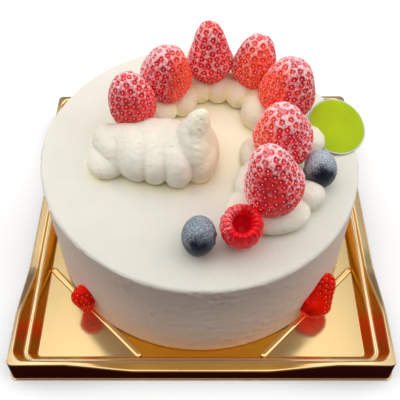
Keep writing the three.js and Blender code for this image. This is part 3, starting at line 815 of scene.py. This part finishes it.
def make_strawberries(finish):
    bodies, found = [], []
    for i, berry in enumerate(STRAWBERRIES, 1):
        place = on_cake(**berry)
        points, faces, seeds = berry_skin(berry, i)
        made = piece(f"frosted_strawberry_{i}", points, faces, place, finish["strawberry"])
        found.append((*pit(made, placed(seeds, place), PIT_DEPTH, berry), pointing(place)))
        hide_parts(f"strawberry_{i}")
        bodies.append(made)
    return bodies, lay_seeds("strawberry_seeds", found, finish["seed"],
                             length=0.9, width=0.6, height=0.6)


# ---------------------------------------------------------------- cut strawberries at the foot

CUT_SUNK = 0.2  # how far the cut face is sunk into the icing
SMOOTH_SIDE = 0.45  # seeds that face the smooth side more than this are left off
CLEAR_OF_CUT = 0.4  # seeds lie at least this far from the cut face


def make_foot_berry(side, berry, finish):
    """A strawberry cut lengthwise, its cut face against the cake's side."""
    points, faces, seeds = berry_skin(berry, berry["seed"])
    tilt = Matrix.Rotation(-math.radians(berry["lean"]), 4, "X")
    turned = tilt @ Matrix.Translation((0, 0, -berry["length"] / 2))
    points, seeds = placed(points, turned), placed(seeds, turned)
    cut = berry["radius"] - berry["depth"]
    low = points[points[:, 0] >= cut][:, 2].min()
    angle = math.radians(berry["bearing"])
    out = CAKE_RADIUS - CUT_SUNK
    place = (Matrix.Translation((CAKE_X + out * math.cos(angle), CAKE_Y + out * math.sin(angle),
                                 berry["lift"] - low)) @ Matrix.Rotation(angle, 4, "Z")
             @ Matrix.Translation((-cut, 0, 0)))
    made = piece(f"foot_strawberry_{side}", points, faces, place, finish)
    seeds = placed(seeds, place)
    away = seeds - np.array(place.translation, float)
    away /= np.linalg.norm(away, axis=1, keepdims=True)
    seeds = seeds[away @ np.array(berry["smooth"]) < SMOOTH_SIDE]
    spots, ups = pit(made, seeds, SHALLOW_PIT, berry)
    # Where a cut berry faces down, for its painted bounce glow.
    keep_values(made, "painted_bounce_glow", smoothstep(-surface(made)[1][:, 2], -0.1, 0.6))
    normal = Vector((math.cos(angle), math.sin(angle), 0))
    wall = Vector((CAKE_X, CAKE_Y, 0)) + normal * out
    body = bmesh.new()
    body.from_mesh(made.data)
    bmesh.ops.bisect_plane(body, geom=body.verts[:] + body.edges[:] + body.faces[:],
                           plane_co=wall * MM, plane_no=normal, clear_inner=True)
    bmesh.ops.holes_fill(body, edges=[e for e in body.edges if e.is_boundary], sides=0)
    write_outwards(body, made)
    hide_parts(f"foot_berry_{side}")
    kept = (spots - np.array(wall)) @ np.array(normal) > CLEAR_OF_CUT
    return made, (spots[kept], ups[kept], pointing(place @ tilt))


# ---------------------------------------------------------------- blueberries and raspberry

BLUEBERRY_COLUMNS = 100
BLUEBERRY_ROWS = 90
CROWN_RING, CROWN_WIDTH = 0.39, 0.07  # of the berry's radius
CROWN_POINTS = 5
PAINTED_SHADE_SIDE = (0.08, -0.93, 0.3)


def make_blueberry(i, berry, finish):
    """A berry whose crown is turned to a side, with its bloom taken off low in front as painted
    shade.
    """
    angles = full_turn(BLUEBERRY_COLUMNS)
    rings = []
    for out, up in smooth_line(BLUEBERRY_OUTLINE, BLUEBERRY_ROWS)[1:-1]:
        crown = math.exp(-((out - CROWN_RING) / CROWN_WIDTH) ** 2) * (up > 0.6)
        scallop = 0.03 * crown * np.cos(CROWN_POINTS * angles)
        reach = berry["radius"] * (out + scallop) * (1 + 0.012 * wobble(angles, i + 3))
        rings.append(ring(reach, berry["radius"] * BLUEBERRY_FLAT * (up + scallop), angles))
    turn = (Matrix.Rotation(math.radians(berry["crown"] - 90), 4, "Z")
            @ Matrix.Rotation(math.radians(-90 - CROWN_DIP), 4, "X"))
    made = piece(f"frosted_blueberry_{i + 1}", *skin(rings), on_cake(**berry) @ turn, finish)
    points, outward = surface(made)
    lumpy = wander(points, 0.12, 11 + i)
    push(made, points, outward, 0.15 * lumpy)
    # Bloom, thickest on top and towards the back, is taken off low in front as painted shade and
    # lies thin underneath as painted bounce light from the cream.
    light = outward[:, 2] + 0.25 * outward[:, 1] + 0.35 * lumpy
    painted_front_shade = smoothstep(outward @ PAINTED_SHADE_SIDE + 0.22 * lumpy, berry["painted_front_shade"], 0.95)
    frost = np.maximum(smoothstep(light, -0.7, 1.0), 0.4 * smoothstep(-outward[:, 2], 0.5, 0.8))
    keep_values(made, "frost", berry["bloom"] * frost * (1 - 0.97 * painted_front_shade))
    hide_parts(f"blueberry_{i + 1}")
    return made


RASPBERRY_COLUMNS = 190
RASPBERRY_ROWS = 150
DRUPELETS_ROUND = 11
DRUPELET_START = 12.0  # how far along the outline the first row lies
DRUPELET_STEP = 4.1
DRUPELET_WIDTH = 4.6
DRUPELET_BIGGEST = 2.9
DRUPELET_RISE = 1.25
RIM_RIDGES = 20


def drupelets(line):
    """Where the drupelets' middles lie round a raspberry of this outline, and how big they are."""
    draw = random.Random(5)
    travelled = lengths_along(line)
    centres, sizes = [], []
    rows = np.arange(DRUPELET_START, travelled[-1] - 1.5, DRUPELET_STEP)
    for row, at in enumerate(rows):
        out, up = (np.interp(at, travelled, line[:, k]) for k in (0, 1))
        count = max(5, round(2 * math.pi * out / DRUPELET_WIDTH))
        if out > 6:
            count = DRUPELETS_ROUND
        for k in range(count):
            angle = 2 * math.pi * (k + 0.5 * (row % 2) + draw.uniform(-0.08, 0.08)) / count
            centres.append((out * math.cos(angle), out * math.sin(angle),
                            up + draw.uniform(-0.3, 0.3)))
            sizes.append(min(DRUPELET_BIGGEST, math.pi * out / count * 1.12))
    return np.array(centres), np.array(sizes)


def make_raspberry(finish):
    """A raspberry with its open hollow up, ridged round the rim and frosted on the left."""
    line = smooth_line(RASPBERRY_OUTLINE, RASPBERRY_ROWS)
    place = on_cake(**RASPBERRY)
    rings = lathe(line[1:-1], RASPBERRY_COLUMNS)
    made = piece("frosted_raspberry", *skin(rings), place, finish)
    centres, sizes = drupelets(line)
    points, outward = surface(made)
    which, near = nearest(points, placed(centres, place))
    dome = np.sqrt(np.clip(1 - (near / sizes[which]) ** 2, 0, 1))
    side = points - np.array(place.translation, float)
    local = side @ np.array(place.to_3x3(), float)
    around = np.arctan2(local[:, 1], local[:, 0])
    on_rim = smoothstep(local[:, 2], 5.5, 7.8) * smoothstep(np.hypot(*local[:, :2].T), 3.6, 4.6)
    ridges = np.sqrt(np.abs(np.sin(0.5 * RIM_RIDGES * around + 0.4 * wander(points, 0.3, 8))))
    dome = dome * (1 - on_rim) + ridges * on_rim * 0.75
    push(made, points, outward, DRUPELET_RISE * dome - 0.5 * (near < 6))
    lumpy = wander(points, 0.2, 5)
    height = side @ np.array(pointing(place), float)
    x, y = side[:, 0] / 9, side[:, 1] / 9
    rim = smoothstep(height + 2.5 * lumpy, 2.0, 7.5) * smoothstep(dome, 0.05, 0.5)
    left = smoothstep(-x + 0.5 * lumpy, -0.2, 0.9) * smoothstep(dome, 0.2, 0.7)
    behind = smoothstep(0.5 * y - 0.7 * x + 0.4 * lumpy, -0.5, 0.6)
    keep_values(made, "frost", np.clip(0.31 * rim * behind + 0.13 * left * (height > -6), 0, 1))
    # Painted shade between the drupelets.
    keep_values(made, "pit_and_shade", 1 - smoothstep(dome, 0.0, 0.5))
    keep_values(made, "bare", smoothstep(x - height / 14, 0.2, 1.1) * 0.5)
    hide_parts("raspberry")
    return made


# ---------------------------------------------------------------- cream

LOBE_SINK = 0.4  # how far up its height a lobe's middle lies
FAN_X, FAN_Z = 6, 21  # where the peak's folds fan out from, above the cake's top
FOLDS, FINE_FOLDS = 19, 33  # in a whole turn
TORN_SMALLEST, TORN_BIGGEST = 0.5, 1.1


def lobe_place(lobe):
    x, y, along, across, tall, turn = lobe
    sink = LOBE_SINK * tall
    return (CAKE_TOP_PLACE @ Matrix.Translation((x, y, sink))
            @ Matrix.Rotation(math.radians(turn), 4, "Z")
            @ Matrix.Diagonal((along, across, tall - sink, 1)))


def off_lobe(points, lobe):
    """How far points lie from a lobe's middle, as shares of its own size."""
    local = placed(points, lobe_place(lobe).inverted())
    return np.linalg.norm(local, axis=1), local[:, 0] * lobe[2]


def fused_lobes(name, places, finish, voxel, smooth_steps, rings=None):
    """Lobes, and a skin over the rings, grown together into one soft skin."""
    body = bmesh.new()
    for place in places:
        bmesh.ops.create_uvsphere(body, u_segments=40, v_segments=26, radius=1.0,
                                  matrix=Matrix.Scale(MM, 4) @ place)
    if rings:
        points, faces = skin(rings)
        verts = [body.verts.new(Vector(p) * MM) for p in points]
        for face in faces:
            body.faces.new([verts[i] for i in face])
    mesh = bpy.data.meshes.new(name)
    body.to_mesh(mesh)
    body.free()
    made = linked(name, mesh)
    remesh = made.modifiers.new("fuse", "REMESH")
    remesh.mode = "VOXEL"
    remesh.voxel_size = voxel * MM
    soften = made.modifiers.new("soften", "SMOOTH")
    soften.iterations = smooth_steps
    soften.factor = 0.5
    evaluated(made)
    made.data.materials.clear()
    made.data.materials.append(finish)
    made.data.polygons.foreach_set("use_smooth", [True] * len(made.data.polygons))
    return made


def peak_rings():
    """The rings of the right-hand lobe, which rises into the peak."""
    angles = full_turn(28)
    rings = []
    for x, y, z, wide, deep in smooth_line(PEAK, 30):
        loop = np.stack([x + wide * np.cos(angles), y + deep * np.sin(angles),
                         z * np.ones_like(angles)], -1)
        rings.append(placed(loop, CAKE_TOP_PLACE))
    return rings


def streak(made, lobes, depth, spacing, crease_painted_glow, right_painted_glow):
    """Faint lines across each lobe, and a painted yellow glow at the foot and in the creases."""
    points, outward = surface(made)
    closest, second = np.full(len(points), 9.0), np.full(len(points), 9.0)
    along = np.zeros(len(points))
    for lobe in lobes:
        reach, here = off_lobe(points, lobe)
        closer = reach < closest
        second = np.where(closer, closest, np.minimum(second, reach))
        along = np.where(closer, here, along)
        closest = np.minimum(closest, reach)
    lumpy, broad = wander(points, 0.10, 2), wander(points, 0.28, 12, 2)
    fine = wander(points, 0.9, 9, 3)
    crease = np.exp(-((second - closest) / 0.10) ** 2)
    between = np.exp(-((second - closest) / 0.25) ** 2)
    lines = np.sin(2 * math.pi * along / spacing + 2.5 * lumpy)
    move = depth * lines * (0.5 + 0.8 * lumpy) + 0.35 * lumpy + 0.15 * broad + 0.12 * fine
    move -= 0.4 * crease * (1 - smoothstep(outward[:, 2], 0.6, 0.95))
    push(made, points, outward, move)
    height = placed(points, CAKE_TOP_PLACE.inverted())[:, 2]
    # Painted yellow glow at the cream's foot, in the creases between lobes and on the right.
    painted_yellow_glow = 0.7 * (1 - smoothstep(height + 1.5 * lumpy, 0, 6))
    painted_yellow_glow += crease_painted_glow * (0.6 + between) * smoothstep(points[:, 1], -15, 25)
    painted_yellow_glow += right_painted_glow * smoothstep(points[:, 0], -8, 6)
    keep_values(made, "painted_yellow_glow", np.clip(painted_yellow_glow, 0, 1))


def pleat(made):
    """Folds that fan out below the peak, where the nozzle was lifted away."""
    points, outward = surface(made)
    x, _, z = placed(points, CAKE_TOP_PLACE.inverted()).T
    angle, far = np.arctan2(z - FAN_Z, x - FAN_X), np.hypot(z - FAN_Z, x - FAN_X)
    near = smoothstep(far, 4, 9) * (1 - smoothstep(far, 13, 22)) * (x > -14) * (z > 3)
    loose = wander(points, 0.16, 6)
    folds = (np.sin(FOLDS * angle + 2.6 * loose)
             + 0.6 * np.sin(FINE_FOLDS * angle + 1.3 + 2 * loose))
    depth = 0.08 * near * (0.6 + 0.8 * wander(points, 0.2, 16))
    push(made, points, outward, depth * folds)


def crumble(made, count, seed, rough):
    """Small torn pits, some with a raised lip, where the cream broke as it was spread."""
    points, outward = surface(made)
    draw = random.Random(seed)
    spots = [points[draw.randrange(len(points))] for _ in range(count)]
    sizes = np.array([draw.uniform(TORN_SMALLEST, TORN_BIGGEST) for _ in range(count)])
    which, near = nearest(points, spots)
    near = near / sizes[which]
    sign = np.where(which % 3, 1, -1)
    lip = np.exp(-((near - 1.4) / 0.4) ** 2)
    push(made, points, outward,
         -rough * sign * (1 - smoothstep(near, 0.2, 1.1)) + 0.35 * rough * lip)


def make_cream(finish):
    swirl = fused_lobes("piped_swirl", [lobe_place(lobe) for lobe in SWIRL + SWIRL_CORE], finish,
                        voxel=0.5, smooth_steps=2, rings=peak_rings())
    streak(swirl, SWIRL, depth=0.05, spacing=2.3, crease_painted_glow=0.0, right_painted_glow=0.5)
    pleat(swirl)
    crumble(swirl, count=150, seed=6, rough=0.25)
    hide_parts("cream_swirl")
    bed = [CAKE_TOP_PLACE @ Matrix.Translation((x, y, -BED_SINK)) @ Matrix.Diagonal(
        (BED_RADIUS, BED_RADIUS, BED_RADIUS, 1)) for x, y in smooth_line(BED, 24)]
    mound = fused_lobes("piped_ring", [lobe_place(lobe) for lobe in RING] + bed, finish,
                        voxel=0.7, smooth_steps=3)
    streak(mound, RING, depth=0.04, spacing=2.6, crease_painted_glow=0.6, right_painted_glow=0.0)
    crumble(mound, count=110, seed=7, rough=0.25)
    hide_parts("cream_ring")
    return swirl, mound


# ---------------------------------------------------------------- iced cake

CAKE_COLUMNS = 420
CAKE_FOOT = TRAY_FLOOR + 0.3
CAKE_STILL = 1.5  # below this height the side stays even, where it meets the tray
FACES_UP = 0.3  # points that turn less than this to the side belong to the cake's top
YELLOW_X, YELLOW_Y = 10, 22  # the middle of the yellow glow inside the ring


def cake_outline():
    """(distance from the axis, height) from the top's middle over the edge to the underside."""
    inner = CAKE_RADIUS - CAKE_EDGE
    top = [(r, CAKE_TOP) for r in np.linspace(1.5, inner, 46)[:-1]]
    corner = [(inner + CAKE_EDGE * math.sin(a), CAKE_TOP - CAKE_EDGE + CAKE_EDGE * math.cos(a))
              for a in np.linspace(0, math.pi / 2, 9)]
    side = [(CAKE_RADIUS, z) for z in np.linspace(CAKE_TOP - CAKE_EDGE, CAKE_FOOT, 44)[1:]]
    under = [(CAKE_RADIUS * share, CAKE_FOOT) for share in (0.97, 0.6, 0.2)]
    return top + corner + side + under


def make_cake(finish):
    """The iced cake: spread icing, warmer and darker on its side and dimmer in front as painted
    shade, and with a painted yellow glow by the cream.
    """
    rings = []
    for loop in lathe(cake_outline(), CAKE_COLUMNS):
        x, y, up = loop.T
        rings.append(np.stack([x + CAKE_X, y + CAKE_Y,
                               up + (SLOPE_X * x + SLOPE_Y * y) * (up / CAKE_TOP)], -1))
    made = piece("iced_cake", *skin(rings), None, finish)
    points, outward = surface(made)
    side_share = 1 - np.abs(outward[:, 2])
    broad = wander(points * [1, 1, 0.5], 0.03, 1, 2)
    fine = wander(points * [0.4, 0.4, 1.3], 0.24, 4, 4)
    rough = np.clip(wander(points, 0.05, 14, 2), 0, 1) * wander(points, 0.6, 15, 3)
    move = 0.35 * broad + 0.13 * fine * side_share + 0.03 * fine + rough * side_share
    push(made, points, outward, move * (points[:, 2] > CAKE_STILL))
    # The side's icing is warmer and a little darker: painted shade.
    keep_values(made, "warm_side_shade", smoothstep(side_share, 0.3, 0.9))
    # Painted yellow glow on the top inside the ring and round the swirl's foot, lightening the
    # shade there.
    inside = np.hypot(points[:, 0] - YELLOW_X, points[:, 1] - YELLOW_Y) + 3 * broad
    beside = np.min([off_lobe(points, lobe)[0] for lobe in SWIRL], axis=0)
    painted_yellow_glow = np.maximum(1 - smoothstep(inside, 16, 62), 0.9 - 0.9 * smoothstep(beside, 1.05, 1.5))
    keep_values(made, "painted_yellow_glow", painted_yellow_glow * (side_share < FACES_UP))
    # Painted shade: the top darker towards the front, the side darker high up in front.
    painted_shade = np.where(side_share < FACES_UP, 0.55 * (1 - smoothstep(points[:, 1], -85, 15)),
                   smoothstep(points[:, 2], 25, 58) * smoothstep(-outward[:, 1], 0.6, 1.0))
    keep_values(made, "painted_shade", painted_shade)
    crumble(made, count=320, seed=8, rough=0.35 * smoothstep(side_share, 0.2, 0.8))
    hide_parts("cake")
    return made


# ---------------------------------------------------------------- plaque

def disc(name, radius, low, high, round_off, finish):
    """A thin round plate with rounded edges, in the plaque's place."""
    inner = radius - round_off
    bend = np.linspace(0, math.pi / 2, 5)
    outline = [(radius * 0.5, high), (inner, high)]
    outline += [(inner + round_off * math.sin(a), high - round_off * (1 - math.cos(a)))
                for a in bend[1:]]
    outline += [(inner + round_off * math.cos(a), low + round_off * (1 - math.sin(a)))
                for a in bend]
    outline += [(radius * 0.5, low)]
    return piece(name, *skin(lathe(outline, PLAQUE_COLUMNS)), on_cake(**PLAQUE), finish)


def make_plaque(finish_rim, finish_face):
    half = PLAQUE_THICK / 2
    body = disc("plaque_body", PLAQUE_RADIUS, -half, half - 0.1, 0.25, finish_rim)
    inside_rim = PLAQUE_RADIUS - PLAQUE_RIM
    face = disc("plaque_face", inside_rim, half - 0.15, half + 0.02, 0.06, finish_face)
    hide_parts("plaque")
    return body, face


# ---------------------------------------------------------------- tray

def tray_loop(line):
    """One closed line round the tray, whose sides dip and widen between their corners."""
    inset, height, radius, low_inset, low_height = line[:5]
    slope = np.linspace(LOW_REACH, HIGH_REACH, 10)
    along = np.concatenate([-slope[::-1], [-22, -11, 0, 11, 22], slope])
    raised = np.clip((np.abs(along) - LOW_REACH) / (HIGH_REACH - LOW_REACH), 0, 1)
    raised = 0.7 * raised + 0.3 * smoothstep(raised, 0, 1)
    half = TRAY_HALF - (low_inset + (inset - low_inset) * raised)
    side = np.stack([along, -half, low_height + (height - low_height) * raised], 1)
    bend = np.linspace(math.pi, 1.5 * math.pi, 13)
    middle = radius + inset - TRAY_HALF
    corner = np.stack([middle + radius * np.cos(bend), middle + radius * np.sin(bend),
                       np.full(13, height)], 1)
    quarter = np.vstack([corner, side])
    loop = [quarter]
    for _ in range(3):
        quarter = np.stack([-quarter[:, 1], quarter[:, 0], quarter[:, 2]], 1)
        loop.append(quarter)
    return np.vstack(loop)


BEND_STEPS = (0, 0.15, 0.35, 0.5, 0.65, 0.85, 1)
SHORT_LEG = 0.42  # of the way to the next bend, which a rounding never passes
RIB_ROUND = 1.7  # the length of a rib's round end
RIB_INSET = 11.4  # from the skirt to a rib's end


def rounded_rows(loops, lines):
    """Rows through the loops with each bend rounded, and the finish values of every row."""
    ends = [loops[0] * [0.5, 0.5, 1], *loops, loops[-1] * [0.5, 0.5, 1]]
    rows, values = [], []
    for before, here, after, line in zip(ends, loops, ends[2:], lines):
        reach, first, last, bright = line[5:]
        first, last = np.array(first), np.array(last)
        legs = []
        for other in (before, after):
            way = other - here
            long = np.linalg.norm(way, axis=1, keepdims=True)
            legs.append(way / long * np.minimum(reach, SHORT_LEG * long))
        rows.append(here + legs[0] * 1.25)
        values.append([*first, 0])
        for t in BEND_STEPS:
            rows.append(here + legs[0] * (1 - t) ** 2 + legs[1] * t ** 2)
            # The painted highlight is brightest halfway round each bend.
            values.append([*(first + (last - first) * t), bright * math.sin(math.pi * t)])
        rows.append(here + legs[1] * 1.25)
        values.append([*last, 0])
    return rows, np.array(values)


def tray_rib(quarter):
    """A raised bar with round ends, across one corner of the tray."""
    end = TRAY_HALF - RIB_INSET
    start = RIB_REACH - end
    long = math.hypot(end - start, end - start)
    section = full_turn(28)
    across = 0.5 * RIB_WIDTH * np.sign(np.cos(section)) * np.abs(np.cos(section)) ** 0.7
    rise = np.abs(np.sin(section)) ** 0.6 * np.sign(np.sin(section))
    rise = RIB_HEIGHT * np.maximum(rise, -0.15)
    tip = RIB_ROUND * (1 - np.cos(np.linspace(0.2, math.pi / 2, 7)))
    reach = np.concatenate([tip, np.linspace(2.2, long - 2.2, 30), long - tip[::-1]])
    short = (1 - np.minimum(reach, long - reach) / RIB_ROUND).clip(0, 1)
    swell = np.sqrt(np.clip(1 - short ** 2, 0.02, 1))
    turn = quarter * math.pi / 2
    rings = []
    for along, size in zip(reach, swell):
        x = -end + along / math.sqrt(2) + across * size / math.sqrt(2)
        y = -start - along / math.sqrt(2) + across * size / math.sqrt(2)
        rings.append(np.stack([x * math.cos(turn) - y * math.sin(turn),
                               x * math.sin(turn) + y * math.cos(turn),
                               TRAY_FLOOR + rise * size], 1))
    return skin(rings)


def bar_layers(bar):
    """Finish values of a rib: painted highlights on its shoulders, painted shade where it meets the
    floor, and painted amber reflection, more of it along its top.
    """
    rise = (bar[:, 2] - TRAY_FLOOR) / RIB_HEIGHT
    shoulder = np.exp(-((rise - 0.88) / 0.10) ** 2)
    foot = 1 - smoothstep(rise, 0.1, 0.6)
    return np.stack([0.2 + 0.4 * smoothstep(rise, 0.93, 1.0), 0.75 * foot, 0 * rise,
                     0.9 * shoulder, 0 * rise], 1)


def make_tray(finish):
    """A pressed sheet of gold film: floor with four ribs, wall, ledge, rim, skirt and lip."""
    rows, values = rounded_rows([tray_loop(line) for line in TRAY_LINES], TRAY_LINES)
    points, faces = skin(rows)
    layers = np.vstack([np.repeat(values, len(rows[0]), axis=0), values[0], values[-1]])
    on_rim = np.isclose(layers[:, 0], RIM_GOLD[0])
    rim_rise = RIM_HIGH - RIM_LOW
    sloping = np.clip(6.4 * (points[:, 2] - RIM_LOW) / rim_rise
                      * (RIM_HIGH - points[:, 2]) / rim_rise, 0, 1)
    aside = np.abs(points[:, 0]) > np.abs(points[:, 1])
    # Painted amber reflection low on the rims of the front and the back.
    layers[:, 0] += 0.55 * on_rim * (1 - smoothstep(points[:, 2], 8, 15)) * ~aside
    # Brown-grey sloping rim facets on the left and right: painted dark reflection, with a rougher
    # finish as well.
    groups = [np.column_stack([layers, 0.85 * on_rim * sloping * aside])]
    total = len(points)
    all_points, all_faces = [points], list(faces)
    for quarter in range(4):
        bar, bar_faces = tray_rib(quarter)
        all_faces += [tuple(total + v for v in f) for f in bar_faces]
        total += len(bar)
        all_points.append(bar)
        groups.append(bar_layers(bar))
    made = piece("gold_tray", np.vstack(all_points), all_faces, None, finish)
    for name, values in zip(("painted_amber_reflection", "painted_dark", "floor", "painted_edge_highlight", "rough_shaded_facet"), np.vstack(groups).T):
        keep_values(made, name, values)
    body = bmesh.new()
    body.from_mesh(made.data)
    write_outwards(body, made)
    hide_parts("tray")
    return made


# ---------------------------------------------------------------- stage

SKY_UP = (0.0, -0.08, 1.0)  # towards the middle of the bright ceiling
SKY_LOW = 0.055
SKY_CEILING = 1.75
SKY_SIDES = 2.25
SKY_BACK = 0.3
SKY_SEEN = 0.93
FLOOR_HALF = 6000
FLOOR_DROP = 0.05
LAMP_AT = (-0.03, 0.5, 0.8)  # metres
LAMP_SIZE = (0.7, 0.5)
LAMP_POWER = 1.0


def make_sky():
    """A bright ceiling, side and back light, dark in front, and plain pale where it is seen."""
    world = bpy.data.worlds.new("room")
    world.use_nodes = True
    sky = Nodes(world.node_tree)
    way = sky.add("ShaderNodeTexCoord").outputs["Generated"]
    x, y, z = sky.axes(way)

    def soft(value, low, high, most=1.0):
        return sky.spread(value, low, high, 0.0, most, "SMOOTHSTEP")

    towards = sky.add("ShaderNodeVectorMath", {0: way, 1: Vector(SKY_UP).normalized()},
                      operation="DOT_PRODUCT").outputs["Value"]
    sideways = sky.calc("ABSOLUTE", sky.plus(x, 0.02))
    level = sky.plus(SKY_LOW, soft(towards, 0.72, 0.92, SKY_CEILING),
                     sky.times(soft(sideways, 0.35, 0.80), soft(z, 0.05, 0.35),
                               soft(y, -0.6, 0.0, SKY_SIDES)),
                     sky.times(soft(y, 0.2, 0.6), soft(z, 0.4, 0.6, SKY_BACK)))
    seen = sky.add("ShaderNodeLightPath").outputs["Is Camera Ray"]
    strength = sky.plus(sky.times(seen, SKY_SEEN),
                        sky.times(sky.calc("SUBTRACT", 1.0, seen), level))
    background = sky.tree.nodes["Background"]
    sky.fill(background.inputs["Color"], (1, 1, 1))
    sky.fill(background.inputs["Strength"], strength)
    bpy.context.scene.world = world


def make_stage():
    """A pale floor that gives back little light, under the sky and one soft lamp."""
    pale = Finish("pale_floor", (0.93, 0.93, 0.93), 0.9)
    seen = pale.add("ShaderNodeLightPath").outputs["Is Camera Ray"]
    pale.put({"Base Color": pale.blend(seen, (0.25, 0.24, 0.23), (0.94, 0.94, 0.94)),
              "Specular IOR Level": 0.0})
    corners = [(x * FLOOR_HALF, y * FLOOR_HALF, -FLOOR_DROP)
               for x, y in ((-1, -1), (1, -1), (1, 1), (-1, 1))]
    piece("floor", corners, [(0, 1, 2, 3)], None, pale.made)
    make_sky()
    data = bpy.data.lights.new("back_window", "AREA")
    data.shape = "RECTANGLE"
    data.size, data.size_y = LAMP_SIZE
    data.energy = LAMP_POWER
    lamp = linked("back_window", data)
    lamp.location = LAMP_AT
    lamp.rotation_euler = (-Vector(LAMP_AT)).to_track_quat("-Z", "Y").to_euler()
    bpy.context.scene.view_settings.view_transform = "Standard"


# ---------------------------------------------------------------- the whole

def ride_as(slot_name, *pieces):
    for made in pieces:
        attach(made, "root")


def build():
    make_camera()
    make_stage()
    finish = finishes()
    frost = finish["frost"]
    ride_as("tray", make_tray(finish["gold"]))
    ride_as("icing", make_cake(finish["icing"]))
    ride_as("cream", *make_cream(finish["cream"]))
    bodies, seeds = make_strawberries(finish)
    ride_as("strawberry", *bodies, seeds)
    ride_as("strawberry", frost_over("strawberry_frost", bodies, frost, density=2.4e6,
                                     size=0.46, seed=1))
    cut = [make_foot_berry(side, berry, finish["wet_strawberry"])
           for side, berry in FOOT_BERRIES.items()]
    foot_seeds = lay_seeds("foot_seeds", [laid for _, laid in cut], finish["pale_seed"],
                           length=0.95, width=0.55, height=0.5)
    ride_as("cut_strawberry", *[made for made, _ in cut], foot_seeds)
    blue = [make_blueberry(i, berry, finish["blueberry"]) for i, berry in enumerate(BLUEBERRIES)]
    ride_as("blueberry", *blue)
    ride_as("blueberry", frost_over("blueberry_frost", blue, frost, density=2.6e6,
                                    size=0.34, seed=2))
    rasp = make_raspberry(finish["raspberry"])
    ride_as("raspberry", rasp)
    ride_as("raspberry", frost_over("raspberry_frost", [rasp], frost, density=2.2e6,
                                    size=0.3, seed=3))
    ride_as("plaque", *make_plaque(finish["rim"], finish["lime"]))


build()
